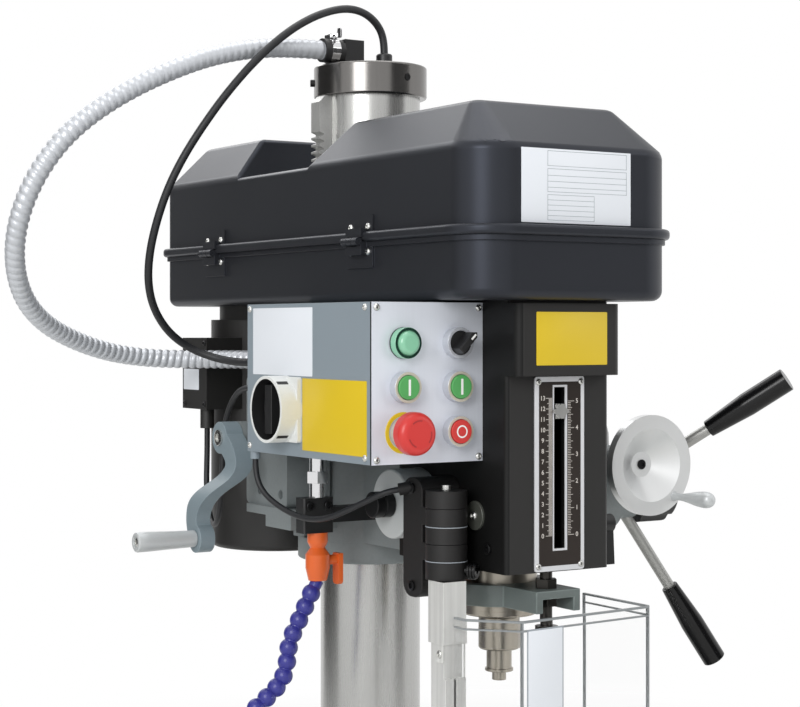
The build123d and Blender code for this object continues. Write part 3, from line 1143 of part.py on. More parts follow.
def pulley_profile(steps):
    """Points of a stepped V-pulley from bottom to top, as radius and height."""
    points = []
    for index, radius in enumerate(steps):
        low = PULLEY_BOTTOM + index * PULLEY_STEP
        middle = low + PULLEY_STEP / 2
        floor = radius - GROOVE_DEPTH
        points += [(radius, low), (radius, middle - GROOVE_W / 2), (floor, middle - GROOVE_FLOOR_W / 2),
                   (floor, middle + GROOVE_FLOOR_W / 2), (radius, middle + GROOVE_W / 2),
                   (radius, low + PULLEY_STEP)]
    return points


# Stepped pulleys and the belt on their middle pair
with BuildPart() as spindle_pulley:
    with BuildSketch(Plane.XZ.offset(-SPINDLE_Y)):
        Polygon((0, PULLEY_HUB_BOTTOM), (PULLEY_HUB_R, PULLEY_HUB_BOTTOM), (PULLEY_HUB_R, PULLEY_BOTTOM),
                *pulley_profile(SPINDLE_STEPS), (0, PULLEY_TOP), align=None)
    revolve(axis=Axis((0, SPINDLE_Y, 0), UPWARD))
    with BuildSketch(Plane.XY.offset(PULLEY_BOTTOM)):
        with Locations((0, SPINDLE_Y)):
            Circle(SPINDLE_STEPS[-1] - GROOVE_DEPTH - PULLEY_WALL)
            Circle(PULLEY_HUB_R + PULLEY_WALL, mode=Mode.SUBTRACT)
    extrude(amount=PULLEY_TOP - PULLEY_BOTTOM - 2 * PULLEY_WALL, mode=Mode.SUBTRACT)
    with BuildSketch(Plane.XY.offset(PULLEY_HUB_BOTTOM)):
        with Locations((0, SPINDLE_Y)):
            Circle(SPLINE_R + RUNNING_FIT)
            with PolarLocations(SPLINE_R, SPLINE_COUNT):
                Rectangle(2 * (SPLINE_TOOTH + SIDE_GAP), SPLINE_TOOTH_W + 2 * RUNNING_FIT)
    extrude(amount=PULLEY_TOP - PULLEY_HUB_BOTTOM, mode=Mode.SUBTRACT)
keep(spindle_pulley, "spindle_pulley")

with BuildPart() as motor_pulley:
    with BuildSketch(Plane(origin=(MOTOR_X, MOTOR_Y, 0), x_dir=RIGHTWARD, z_dir=FRONTWARD)):
        Polygon((0, PULLEY_BOTTOM), *pulley_profile(MOTOR_STEPS), (0, PULLEY_TOP), align=None)
    revolve(axis=Axis((MOTOR_X, MOTOR_Y, 0), UPWARD))
    rod((MOTOR_X, MOTOR_Y, PULLEY_BOTTOM), UPWARD, PULLEY_TOP - PULLEY_BOTTOM, MOTOR_SHAFT_R, Mode.SUBTRACT)
keep(motor_pulley, "motor_pulley")

with BuildPart() as drive_belt:
    spindle_centre = Vector(0, SPINDLE_Y, BELT_Z)
    motor_centre = Vector(MOTOR_X, MOTOR_Y, BELT_Z)
    along = (motor_centre - spindle_centre).normalized()
    across = Vector(along.Y, -along.X, 0)
    spindle_line = SPINDLE_STEPS[BELT_PAIR] - BELT_SINK
    motor_line = MOTOR_STEPS[BELT_PAIR] - BELT_SINK
    lean = (spindle_line - motor_line) / (motor_centre - spindle_centre).length
    right_normal = along * lean + across * sqrt(1 - lean**2)
    left_normal = along * lean - across * sqrt(1 - lean**2)
    with BuildLine() as belt_line:
        Line(spindle_centre + right_normal * spindle_line, motor_centre + right_normal * motor_line)
        ThreePointArc(motor_centre + right_normal * motor_line, motor_centre + along * motor_line,
                      motor_centre + left_normal * motor_line)
        Line(motor_centre + left_normal * motor_line, spindle_centre + left_normal * spindle_line)
        ThreePointArc(spindle_centre + left_normal * spindle_line, spindle_centre - along * spindle_line,
                      spindle_centre + right_normal * spindle_line)
    belt_start = spindle_centre + right_normal * spindle_line
    belt_run = motor_centre + right_normal * motor_line - belt_start
    with BuildSketch(Plane(origin=belt_start, x_dir=right_normal, z_dir=belt_run)):
        Polygon((0, BELT_W / 2), (-BELT_H, BELT_INNER_W / 2),
                (-BELT_H, -BELT_INNER_W / 2), (0, -BELT_W / 2), align=None)
    sweep(path=belt_line.wire())
keep(drive_belt, "drive_belt")

# Motor: housing with fan cover and terminal box, rotor with shaft and fan
with BuildPart() as motor_housing:
    motor_foot = (MOTOR_X, MOTOR_Y, MOTOR_BOTTOM)
    rod(motor_foot, UPWARD, MOTOR_TOP - MOTOR_BOTTOM, MOTOR_R)
    fillet(motor_housing.edges().filter_by(GeomType.CIRCLE).sort_by(Axis.Z)[0], MOTOR_WALL)
    terminal_low = (TERMINAL_FACE_X, TERMINAL_Y - TERMINAL_W / 2, TERMINAL_BOTTOM)
    block(terminal_low, (MOTOR_X, TERMINAL_Y + TERMINAL_W / 2, TERMINAL_TOP))
    gland_end = MOTOR_CABLE_ROUTE[0]
    rod(gland_end, UPWARD, TERMINAL_BOTTOM - gland_end[2], MOTOR_GLAND_R)
    fan_room = MOTOR_FAN_H - 2 * MOTOR_WALL
    shaft_foot = (MOTOR_X, MOTOR_Y, MOTOR_BOTTOM + MOTOR_WALL)
    rod(shaft_foot, UPWARD, fan_room, MOTOR_R - MOTOR_WALL, Mode.SUBTRACT)
    core_bottom = MOTOR_BOTTOM + MOTOR_FAN_H
    core_room = MOTOR_TOP - MOTOR_WALL - core_bottom
    rod((MOTOR_X, MOTOR_Y, core_bottom), UPWARD, core_room, MOTOR_R - MOTOR_WALL, Mode.SUBTRACT)
    rod(shaft_foot, UPWARD, MOTOR_TOP - shaft_foot[2], MOTOR_SHAFT_R + RUNNING_FIT, Mode.SUBTRACT)
    for vent_ring in VENT_RINGS:
        with BuildSketch(Plane.XY.offset(MOTOR_BOTTOM)):
            with Locations((MOTOR_X, MOTOR_Y)):
                with PolarLocations(vent_ring, VENT_COUNT):
                    SlotOverall(VENT_L, VENT_W)
        extrude(amount=MOTOR_WALL, mode=Mode.SUBTRACT)
keep(motor_housing, "motor_housing")

with BuildPart() as motor_rotor:
    rotor_foot = shaft_foot[2] + SIDE_GAP
    rod((MOTOR_X, MOTOR_Y, rotor_foot), UPWARD, PULLEY_TOP - rotor_foot, MOTOR_SHAFT_R)
    rod((MOTOR_X, MOTOR_Y, core_bottom + MOTOR_WALL), UPWARD, core_room - 2 * MOTOR_WALL, MOTOR_CORE_R)
    rod((MOTOR_X, MOTOR_Y, rotor_foot + MOTOR_WALL), UPWARD, fan_room / 2, MOTOR_R - 2 * MOTOR_WALL)
keep(motor_rotor, "motor_rotor")

# Control box with its inlets, and the front panel
with BuildPart() as control_box:
    block((BOX_LEFT, PANEL_BACK, BOX_BOTTOM), (-COVER_HALF_W, BOX_BACK, BOX_TOP))
    inner_low = (BOX_LEFT + BOX_WALL, PANEL_BACK, BOX_BOTTOM + BOX_WALL)
    block(inner_low, (-COVER_HALF_W - BOX_WALL, BOX_BACK - BOX_WALL, BOX_TOP - BOX_WALL), Mode.SUBTRACT)
    sleeve_r = CONDUIT_D / 2 + CONDUIT_SLEEVE_WALL
    for inlet, radius in ((CONDUIT_ROUTE[-1], sleeve_r), (CABLE_ROUTE[-1], CABLE_INLET_R),
                          (MOTOR_CABLE_ROUTE[-1], MOTOR_INLET_R)):
        rod((inlet[0], BOX_BACK, inlet[2]), BACKWARD, inlet[1] - BOX_BACK, radius)
    guard_inlet = GUARD_CABLE_ROUTE[0]
    rod(guard_inlet, UPWARD, BOX_BOTTOM - guard_inlet[2], GUARD_INLET_R)
    rod((BOX_LEFT, SWITCH_Y, SWITCH_Z), RIGHTWARD, BOX_WALL, SWITCH_STEM_R + RUNNING_FIT, Mode.SUBTRACT)
keep(control_box, "control_box")

with BuildPart() as front_panel:
    block((BOX_LEFT, BOX_FRONT, BOX_BOTTOM), (-COVER_HALF_W, PANEL_BACK, BOX_TOP))
    for column_x in BUTTON_COLUMNS:
        for row_z in BUTTON_ROWS:
            rod((column_x, BOX_FRONT, row_z), BACKWARD, PANEL_THICKNESS, BUTTON_HOLE_D / 2, Mode.SUBTRACT)
keep(front_panel, "front_panel")

with BuildPart() as button_bezels:
    for column_x in BUTTON_COLUMNS:
        for row_z in BUTTON_ROWS:
            face = (column_x, BOX_FRONT, row_z)
            rod(face, FRONTWARD, BEZEL_H, BEZEL_D / 2)
            rod(face, BACKWARD, BEZEL_SLEEVE_L, BUTTON_HOLE_D / 2 - RUNNING_FIT)
            floor = (column_x, BEZEL_SEAT, row_z)
            rod(floor, FRONTWARD, BEZEL_H, BEZEL_BORE_D / 2, Mode.SUBTRACT)
            rod(floor, BACKWARD, BEZEL_FLOOR + BEZEL_SLEEVE_L, STEM_D / 2 + RUNNING_FIT, Mode.SUBTRACT)
keep(button_bezels, "button_bezels")


def control_stem(column_x, row_z, front):
    """The round stem of a control from its cap back through the bezel sleeve."""
    rod((column_x, front, row_z), BACKWARD, BOX_FRONT + BEZEL_SLEEVE_L - front, STEM_D / 2)


with BuildPart() as pilot_lamp:
    rod((LEFT_X, BEZEL_SEAT, LAMP_ROW), FRONTWARD, BEZEL_SEAT - BEZEL_FACE + LAMP_PROUD, CAP_R)
    fillet(pilot_lamp.edges().filter_by(GeomType.CIRCLE).sort_by(Axis.Y)[0], LAMP_PROUD)
    control_stem(LEFT_X, LAMP_ROW, BEZEL_SEAT)
keep(pilot_lamp, "pilot_lamp")

with BuildPart() as selector_knob:
    knob_seat = BEZEL_SEAT - SIDE_GAP
    blade_back = BEZEL_FACE - SIDE_GAP
    rod((RIGHT_X, knob_seat, LAMP_ROW), FRONTWARD, knob_seat - blade_back, CAP_R)
    blade_way = (cos(radians(SELECTOR_ANGLE)), 0, sin(radians(SELECTOR_ANGLE)))
    with BuildSketch(Plane(origin=(RIGHT_X, blade_back, LAMP_ROW), x_dir=blade_way, z_dir=FRONTWARD)):
        blade_half = SELECTOR_RIDGE_W / 2
        blade_tail = SIDE_GAP - CAP_R
        Polygon((blade_tail, -blade_half), (SELECTOR_TIP - blade_half, -blade_half), (SELECTOR_TIP, 0),
                (SELECTOR_TIP - blade_half, blade_half), (blade_tail, blade_half), align=None)
    extrude(amount=SELECTOR_H)
    fillet(selector_knob.faces().sort_by(Axis.Y)[0].edges(), SELECTOR_EDGE)
    control_stem(RIGHT_X, LAMP_ROW, knob_seat)
keep(selector_knob, "selector_knob")

cap_back = BEZEL_SEAT - BUTTON_TRAVEL - SIDE_GAP
cap_front = BEZEL_FACE - BUTTON_PROUD
for node, column_x, row_z in (("reverse_button", LEFT_X, START_ROW), ("forward_button", RIGHT_X, START_ROW),
                              ("stop_button", RIGHT_X, STOP_ROW)):
    with BuildPart() as push_button:
        rod((column_x, cap_back, row_z), FRONTWARD, cap_back - cap_front, CAP_R)
        fillet(push_button.edges().filter_by(GeomType.CIRCLE).sort_by(Axis.Y)[0], BUTTON_PROUD / 2)
        control_stem(column_x, row_z, cap_back)
    keep(push_button, node)

with BuildPart() as emergency_button:
    head_back = BEZEL_FACE - BUTTON_TRAVEL - STOP_GAP
    rod((LEFT_X, head_back, STOP_ROW), FRONTWARD, STOP_HEAD_H, STOP_HEAD_D / 2)
    fillet(emergency_button.edges().filter_by(GeomType.CIRCLE).sort_by(Axis.Y)[0], STOP_HEAD_H / 2)
    control_stem(LEFT_X, STOP_ROW, head_back)
keep(emergency_button, "emergency_button")

# Main switch on the side of the box
with BuildPart() as switch_housing:
    half = SWITCH_BASE / 2
    base_low = (BOX_LEFT - SWITCH_BASE_H, SWITCH_Y - half, SWITCH_Z - half)
    block(base_low, (BOX_LEFT, SWITCH_Y + half, SWITCH_Z + half))
    fillet(switch_housing.edges().filter_by(Axis.X), SWITCH_WALL)
    rod((BOX_LEFT, SWITCH_Y, SWITCH_Z), LEFTWARD, SWITCH_H, SWITCH_R)
    cup_floor = BOX_LEFT - SWITCH_BASE_H
    rod((cup_floor, SWITCH_Y, SWITCH_Z), LEFTWARD, SWITCH_H, SWITCH_R - SWITCH_WALL, Mode.SUBTRACT)
    rod((BOX_LEFT, SWITCH_Y, SWITCH_Z), LEFTWARD, SWITCH_H, SWITCH_STEM_R + RUNNING_FIT, Mode.SUBTRACT)
keep(switch_housing, "switch_housing")

with BuildPart() as switch_knob:
    knob_back = cup_floor - SIDE_GAP
    rod((knob_back, SWITCH_Y, SWITCH_Z), LEFTWARD, SWITCH_KNOB_H / 3, SWITCH_KNOB_R)
    grip_half = SWITCH_KNOB_R - SWITCH_WALL
    grip_low = (knob_back - SWITCH_KNOB_H, SWITCH_Y - SWITCH_GRIP_W / 2, SWITCH_Z - grip_half)
    block(grip_low, (knob_back, SWITCH_Y + SWITCH_GRIP_W / 2, SWITCH_Z + grip_half))
    rod((knob_back, SWITCH_Y, SWITCH_Z), RIGHTWARD, BOX_LEFT + BOX_WALL - knob_back, SWITCH_STEM_R)
keep(switch_knob, "switch_knob")

# Coolant block with its pipe fitting, valve, valve lever and jointed hose
with BuildPart() as coolant_block:
    with Locations((COOLANT_X, COOLANT_Y, COOLANT_BLOCK_BOTTOM)):
        Box(*COOLANT_BLOCK, align=(Align.CENTER, Align.CENTER, Align.MIN))
    chamfer(coolant_block.edges().filter_by(Axis.Z), EDGE_FINE)
    block_top = COOLANT_BLOCK_BOTTOM + COOLANT_BLOCK[2]
    arm_z = COOLANT_BLOCK_BOTTOM + COOLANT_BLOCK[2] / 2
    arm_low = (COOLANT_X, COOLANT_Y - COOLANT_ARM_H / 2, arm_z - COOLANT_ARM_H / 2)
    block(arm_low, (-WEB_WIDTH / 2, COOLANT_Y + COOLANT_ARM_H / 2, arm_z + COOLANT_ARM_H / 2))
    rod((VALVE_X, VALVE_Y, block_top), UPWARD, FITTING_TOP - block_top, FITTING_R)
    with BuildSketch(Plane.XY.offset((block_top + FITTING_TOP - FITTING_HEX_H) / 2)):
        with Locations((VALVE_X, VALVE_Y)):
            RegularPolygon(FITTING_HEX / 2, 6)
    extrude(amount=FITTING_HEX_H)
keep(coolant_block, "coolant_block")

with BuildPart() as coolant_valve:
    valve_top = COOLANT_BLOCK_BOTTOM
    valve_low = COOLANT_BLOCK_BOTTOM - VALVE_H
    with BuildSketch(Plane(origin=(VALVE_X, VALVE_Y, 0), x_dir=RIGHTWARD, z_dir=FRONTWARD)):
        profile = [(VALVE_R * width, valve_top - VALVE_H * drop) for width, drop in VALVE_STEPS]
        Polygon((0, valve_top), *profile, (0, valve_low), align=None)
    revolve(axis=Axis((VALVE_X, VALVE_Y, 0), UPWARD))
    valve_z = COOLANT_BLOCK_BOTTOM - VALVE_AXIS_DROP
    rod((VALVE_X, VALVE_Y, valve_z), RIGHTWARD, 2 * VALVE_R, VALVE_STEM_R + RUNNING_FIT, Mode.SUBTRACT)
keep(coolant_valve, "coolant_valve")

with BuildPart() as valve_lever:
    lever_x = VALVE_X + VALVE_R + VALVE_STEM_L
    rod((VALVE_X + SIDE_GAP, VALVE_Y, valve_z), RIGHTWARD, lever_x - VALVE_X - SIDE_GAP, VALVE_STEM_R)
    lever_low = (lever_x, VALVE_Y - VALVE_LEVER_W / 2, valve_z + VALVE_LEVER_W / 2 - VALVE_LEVER_L)
    block(lever_low, (lever_x + VALVE_LEVER_T, VALVE_Y + VALVE_LEVER_W / 2, valve_z + VALVE_LEVER_W / 2))
    fillet(valve_lever.edges().filter_by(Axis.X).group_by(Axis.Z)[0], VALVE_LEVER_W / 3)
keep(valve_lever, "valve_lever")

with BuildPart() as coolant_hose:
    joints = [Vector(VALVE_X, VALVE_Y, valve_low - SIDE_GAP)] + [Vector(*point) for point in HOSE_ROUTE]
    for here, after in zip(joints, joints[1:]):
        rod(here, after - here, (after - here).length, HOSE_NECK_R)
        with Locations(after):
            Sphere(HOSE_R)
    nozzle_run = joints[-1] - joints[-2]
    with Locations(Plane(origin=joints[-1], z_dir=nozzle_run)):
        Cone(HOSE_NECK_R, NOZZLE_TIP_R, NOZZLE_L, align=(Align.CENTER, Align.CENTER, Align.MIN))
    above_valve = (VALVE_X - HOSE_R, VALVE_Y - HOSE_R, valve_low - SIDE_GAP)
    block(above_valve, (VALVE_X + HOSE_R, VALVE_Y + HOSE_R, valve_top), Mode.SUBTRACT)
keep(coolant_hose, "coolant_hose")

# Guard: mounting block with fixed knuckles, swinging arm, height slide and clear shield
pivot_low = (GUARD_PIVOT_X, GUARD_PIVOT_Y, KNUCKLE_BOTTOM)
pivot_height = KNUCKLE_COUNT * KNUCKLE_H
with BuildPart() as guard_plate:
    plate_width = GUARD_PLATE_BACK - GUARD_PLATE_FRONT
    plate_height = GUARD_PLATE_TOP - GUARD_PLATE_BOTTOM
    with BuildSketch(Plane.YZ.offset(GUARD_PLATE_X)):
        with Locations((GUARD_PLATE_FRONT + plate_width / 2, GUARD_PLATE_BOTTOM + plate_height / 2)):
            RectangleRounded(plate_width, plate_height, GUARD_PLATE_R)
    extrude(amount=-COVER_HALF_W - GUARD_PLATE_X)
    for index in range(1, KNUCKLE_COUNT, 2):
        low_z = KNUCKLE_BOTTOM + index * KNUCKLE_H
        rod((GUARD_PIVOT_X, GUARD_PIVOT_Y, low_z), UPWARD, KNUCKLE_H, KNUCKLE_R)
        ear_low = (GUARD_PLATE_X, GUARD_PIVOT_Y, low_z)
        block(ear_low, (2 * GUARD_PIVOT_X - GUARD_PLATE_X, GUARD_PLATE_FRONT, low_z + KNUCKLE_H))
    rod(pivot_low, UPWARD, pivot_height, GUARD_PIN_R + RUNNING_FIT, Mode.SUBTRACT)
    cable_end = Vector(*GUARD_CABLE_ROUTE[-1])
    rod(cable_end, cable_end - Vector(*GUARD_CABLE_ROUTE[-2]), GUARD_GLAND_L, GUARD_GLAND_R)
keep(guard_plate, "guard_plate")

with BuildPart() as guard_arm:
    for index in range(0, KNUCKLE_COUNT, 2):
        first = index == 0
        last = index == KNUCKLE_COUNT - 1
        low_z = KNUCKLE_BOTTOM + index * KNUCKLE_H + (0 if first else SIDE_GAP)
        high_z = KNUCKLE_BOTTOM + (index + 1) * KNUCKLE_H - (0 if last else SIDE_GAP)
        rod((GUARD_PIVOT_X, GUARD_PIVOT_Y, low_z), UPWARD, high_z - low_z, KNUCKLE_R)
    rod(pivot_low, UPWARD, pivot_height + GUARD_BOLT_H, GUARD_PIN_R)
    with BuildSketch(Plane.XY.offset(PROFILE_BOTTOM)):
        with Locations((PROFILE_X, PROFILE_Y)):
            Rectangle(PROFILE_W, PROFILE_W)
            Rectangle(PROFILE_W - 2 * PROFILE_WALL, PROFILE_W - 2 * PROFILE_WALL, mode=Mode.SUBTRACT)
    extrude(amount=KNUCKLE_BOTTOM - PROFILE_BOTTOM)
keep(guard_arm, "guard_arm")

with BuildPart() as guard_slide:
    slide_w = PROFILE_W - 2 * PROFILE_WALL - 2 * PROFILE_GAP
    with BuildSketch(Plane.XY.offset(SHIELD_BOTTOM)):
        with Locations((PROFILE_X, PROFILE_Y)):
            Rectangle(slide_w, slide_w)
            Rectangle(slide_w - 2 * PROFILE_WALL, slide_w - 2 * PROFILE_WALL, mode=Mode.SUBTRACT)
    extrude(amount=SLIDE_TOP - SHIELD_BOTTOM)
    rib_low = (PROFILE_X - slide_w / 2, PROFILE_Y - slide_w / 2 - RIB_T, SHIELD_BOTTOM)
    block(rib_low, (PROFILE_X + slide_w / 2, PROFILE_Y - slide_w / 2, RIB_TOP))
keep(guard_slide, "guard_slide")

with BuildPart() as guard_shield:
    with BuildSketch(Plane.XY.offset(SHIELD_BOTTOM)):
        with BuildLine() as shield_line:
            shield_start = PROFILE_Y - slide_w / 2 - RIB_T
            FilletPolyline((PROFILE_X, shield_start), (PROFILE_X, SHIELD_SIDE_Y),
                           (SHIELD_CORNER_X, SHIELD_FRONT_Y), (SHIELD_RIGHT_X, SHIELD_RIGHT_Y),
                           (SHIELD_RIGHT_X, SHIELD_END_Y), radius=SHIELD_BEND)
        trace(line_width=SHIELD_T)
    extrude(amount=SHIELD_TOP - SHIELD_BOTTOM)
keep(guard_shield, "guard_shield")

cord_tube(GUARD_CABLE_ROUTE, GUARD_CABLE_D, "guard_cable")
cord_tube(MOTOR_CABLE_ROUTE, MOTOR_CABLE_D, "motor_cable")
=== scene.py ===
"""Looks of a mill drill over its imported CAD: finishes, cords, plates, fasteners and a plain studio."""

import json
from math import atan2, cos, pi, radians, sin

import bmesh
import bpy
from mathutils import Matrix, Vector

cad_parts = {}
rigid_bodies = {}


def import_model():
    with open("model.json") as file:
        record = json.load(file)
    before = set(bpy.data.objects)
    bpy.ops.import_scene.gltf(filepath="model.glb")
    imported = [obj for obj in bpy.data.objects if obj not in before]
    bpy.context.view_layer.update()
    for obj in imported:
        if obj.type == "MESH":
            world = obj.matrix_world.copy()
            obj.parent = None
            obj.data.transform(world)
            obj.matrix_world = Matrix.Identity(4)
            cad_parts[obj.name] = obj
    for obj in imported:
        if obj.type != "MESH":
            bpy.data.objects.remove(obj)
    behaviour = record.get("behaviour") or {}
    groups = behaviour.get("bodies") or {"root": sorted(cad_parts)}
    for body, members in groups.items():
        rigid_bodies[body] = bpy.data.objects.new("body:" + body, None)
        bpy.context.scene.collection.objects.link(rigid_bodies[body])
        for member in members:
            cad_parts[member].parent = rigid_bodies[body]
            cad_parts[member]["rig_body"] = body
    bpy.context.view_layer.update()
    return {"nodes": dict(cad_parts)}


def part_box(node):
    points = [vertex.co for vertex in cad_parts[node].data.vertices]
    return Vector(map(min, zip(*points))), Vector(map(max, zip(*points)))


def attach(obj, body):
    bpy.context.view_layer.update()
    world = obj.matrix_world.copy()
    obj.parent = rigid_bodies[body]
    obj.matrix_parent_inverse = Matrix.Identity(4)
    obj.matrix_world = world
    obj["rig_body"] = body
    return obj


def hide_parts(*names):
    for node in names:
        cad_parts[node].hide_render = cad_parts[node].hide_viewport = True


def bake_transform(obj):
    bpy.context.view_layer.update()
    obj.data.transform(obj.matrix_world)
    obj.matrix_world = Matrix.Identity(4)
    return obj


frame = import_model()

NODES = frame["nodes"]
MM = 0.001
WELD = 2e-6
FULL_TURN = 2 * pi
# An edge is hard between these angles. A sharper fold is only a sliver in a rounded corner.
HARD_FROM, HARD_TO = radians(32), radians(140)
LEFT, RIGHT = (-1, 0, 0), (1, 0, 0)
FRONT, BACK = (0, -1, 0), (0, 1, 0)
DOWN, UP = (0, 0, -1), (0, 0, 1)
scene = bpy.context.scene
scene.view_settings.view_transform = "Standard"


# Small helpers

def mm(x, y, z):
    """A point given in millimetres, in metres."""
    return Vector((x, y, z)) * MM


def corners(node):
    """The lowest and the highest corner of a node, in millimetres."""
    return [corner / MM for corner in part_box(node)]


def middle_of(node):
    """The middle of a node, in millimetres."""
    low, high = corners(node)
    return (low + high) / 2


def linear(code):
    """Linear red, green, blue and alpha of a colour written as six sRGB hex digits."""
    levels = [int(code[i:i + 2], 16) / 255 for i in (0, 2, 4)]
    return (*[v / 12.92 if v <= 0.04045 else ((v + 0.055) / 1.055) ** 2.4 for v in levels], 1.0)


def add(tree, kind, sockets=(), **settings):
    """A shader node with its settings made and its sockets set or wired."""
    made = tree.nodes.new(kind)
    for name, value in settings.items():
        setattr(made, name, value)
    for name, value in dict(sockets).items():
        if isinstance(value, bpy.types.NodeSocket):
            tree.links.new(value, made.inputs[name])
        else:
            made.inputs[name].default_value = value
    return made


def sum_of(tree, first, factor, second):
    """first times factor plus second, as a value socket."""
    made = add(tree, "ShaderNodeMath", {0: first, 1: factor, 2: second}, operation="MULTIPLY_ADD")
    return made.outputs[0]


# Shared surface groups: each varies colour, roughness and height over one kind of pattern, and paints a
# highlight on rounded edges

SURFACE_SOCKETS = {
    "Colour": "NodeSocketColor", "Shade": "NodeSocketFloat", "Roughness": "NodeSocketFloat",
    "Spread": "NodeSocketFloat", "Patches": "NodeSocketFloat", "Grain": "NodeSocketFloat",
    "Edge": "NodeSocketFloat",
}
# Faces made by rounding edges are marked in this layer; the groups paint them lighter as a highlight and make
# them glossier.
EDGE_LAYER = "rounded_edge"
EDGE_GLOSS = -0.12
PATCH_DETAIL, GRAIN_DETAIL = 4.0, 3.0


def surface_group(name, extra, lay):
    """A group whose grain lies on the coordinates that lay makes from the piece's own."""
    tree = bpy.data.node_groups.new(name, "ShaderNodeTree")
    for label, kind in {**SURFACE_SOCKETS, **extra}.items():
        tree.interface.new_socket(name=label, in_out="INPUT", socket_type=kind)
    for label, kind in {"Colour": "NodeSocketColor", "Roughness": "NodeSocketFloat",
                        "Height": "NodeSocketFloat"}.items():
        tree.interface.new_socket(name=label, in_out="OUTPUT", socket_type=kind)
    given = tree.nodes.new("NodeGroupInput").outputs
    place = add(tree, "ShaderNodeTexCoord").outputs["Object"]
    patches = add(tree, "ShaderNodeTexNoise",
                  {"Vector": place, "Scale": given["Patches"], "Detail": PATCH_DETAIL}).outputs[0]
    grain = add(tree, "ShaderNodeTexNoise",
                {"Vector": lay(tree, place, given), "Scale": given["Grain"],
                 "Detail": GRAIN_DETAIL}).outputs[0]
    both = add(tree, "ShaderNodeMath", {0: patches, 1: grain}, operation="ADD").outputs[0]
    swing = add(tree, "ShaderNodeMath", {0: both, 1: 1.0}, operation="SUBTRACT").outputs[0]
    # Painted highlight: rounded edges turn lighter by Edge, in patches, and glossier by EDGE_GLOSS.
    edge = add(tree, "ShaderNodeAttribute", attribute_name=EDGE_LAYER).outputs["Fac"]
    edge_highlight = add(tree, "ShaderNodeMath", {0: edge, 1: patches}, operation="MULTIPLY").outputs[0]
    level = sum_of(tree, swing, given["Shade"], sum_of(tree, edge_highlight, given["Edge"], 1.0))
    colour = add(tree, "ShaderNodeHueSaturation", {"Color": given["Colour"], "Value": level})
    rough = sum_of(tree, swing, given["Spread"], given["Roughness"])
    polished = sum_of(tree, edge_highlight, EDGE_GLOSS, rough)
    result = tree.nodes.new("NodeGroupOutput").inputs
    tree.links.new(colour.outputs[0], result["Colour"])
    tree.links.new(polished, result["Roughness"])
    tree.links.new(grain, result["Height"])
    return tree


def lie_even(tree, place, given):
    """The same grain every way."""
    return place


def lie_drawn(tree, place, given):
    """Grain drawn out into lines."""
    return add(tree, "ShaderNodeVectorMath", {0: place, 1: given["Stretch"]},
               operation="MULTIPLY").outputs[0]


def lie_turned(tree, place, given):
    """Grain in rings round an axis."""
    offset = add(tree, "ShaderNodeVectorMath", {0: place, 1: given["Centre"]}, operation="SUBTRACT")
    across = add(tree, "ShaderNodeVectorMath", {0: offset.outputs[0], 1: given["Across"]},
                 operation="MULTIPLY")
    reach = add(tree, "ShaderNodeVectorMath", {0: across.outputs[0]}, operation="LENGTH")
    return add(tree, "ShaderNodeCombineXYZ", {"X": reach.outputs["Value"]}).outputs[0]


COAT = surface_group("uneven_coat", {}, lie_even)
DRAWN = surface_group("drawn_lines", {"Stretch": "NodeSocketVector"}, lie_drawn)
TURNED = surface_group("turned_rings", {"Centre": "NodeSocketVector", "Across": "NodeSocketVector"},
                       lie_turned)
FINISHES = {}


def finish(name, group, code, roughness, shade, spread, patches, grain, edge=0.0, relief=0.0, metallic=0.0,
           laid=None, shader=None):
    """Adds a material made from one of the shared groups to FINISHES.

    shade and spread say how far colour and roughness vary, patches and grain at which scales. edge is how
    much lighter the painted highlight makes rounded edges, and relief the height of the grain in millimetres.
    laid holds values of the group's own sockets, and shader values of the shader's.
    """
    material = bpy.data.materials.new(name)
    material.use_nodes = True
    tree = material.node_tree
    body = tree.nodes["Principled BSDF"]
    values = {"Colour": linear(code), "Shade": shade, "Roughness": roughness, "Spread": spread,
              "Patches": patches, "Grain": grain, "Edge": edge, **(laid or {})}
    surface = add(tree, "ShaderNodeGroup", node_tree=group)
    for label, value in values.items():
        surface.inputs[label].default_value = value
    tree.links.new(surface.outputs["Colour"], body.inputs["Base Color"])
    tree.links.new(surface.outputs["Roughness"], body.inputs["Roughness"])
    if relief:
        bump = add(tree, "ShaderNodeBump", {"Distance": relief * MM, "Strength": 1.0,
                                            "Height": surface.outputs["Height"]})
        tree.links.new(bump.outputs["Normal"], body.inputs["Normal"])
    for label, value in {"Metallic": metallic, **(shader or {})}.items():
        body.inputs[label].default_value = value
    FINISHES[name] = material


UP_AND_DOWN = {"Stretch": (1.0, 1.0, 0.02)}
SIDE_TO_SIDE = {"Stretch": (0.03, 1.0, 1.0)}
WHEEL_RINGS = {"Centre": mm(150, -175, 743), "Across": (1.0, 0.0, 1.0)}
SPINDLE_RINGS = {"Centre": mm(0, -120, 0), "Across": (0.0, 0.0, 1.0)}
# The blue specular tint and the faint blue of the colour are a painted reflection of blue sky.
finish("shell_black", COAT, "27282b", 0.40, 0.10, 0.08, 5, 1500, 0.3, 0.04,
       shader={"Specular IOR Level": 0.36, "Specular Tint": linear("d3dcf4")})
finish("cover_black", COAT, "1c1b1a", 0.48, 0.12, 0.10, 8, 1400, 0.6, 0.05)
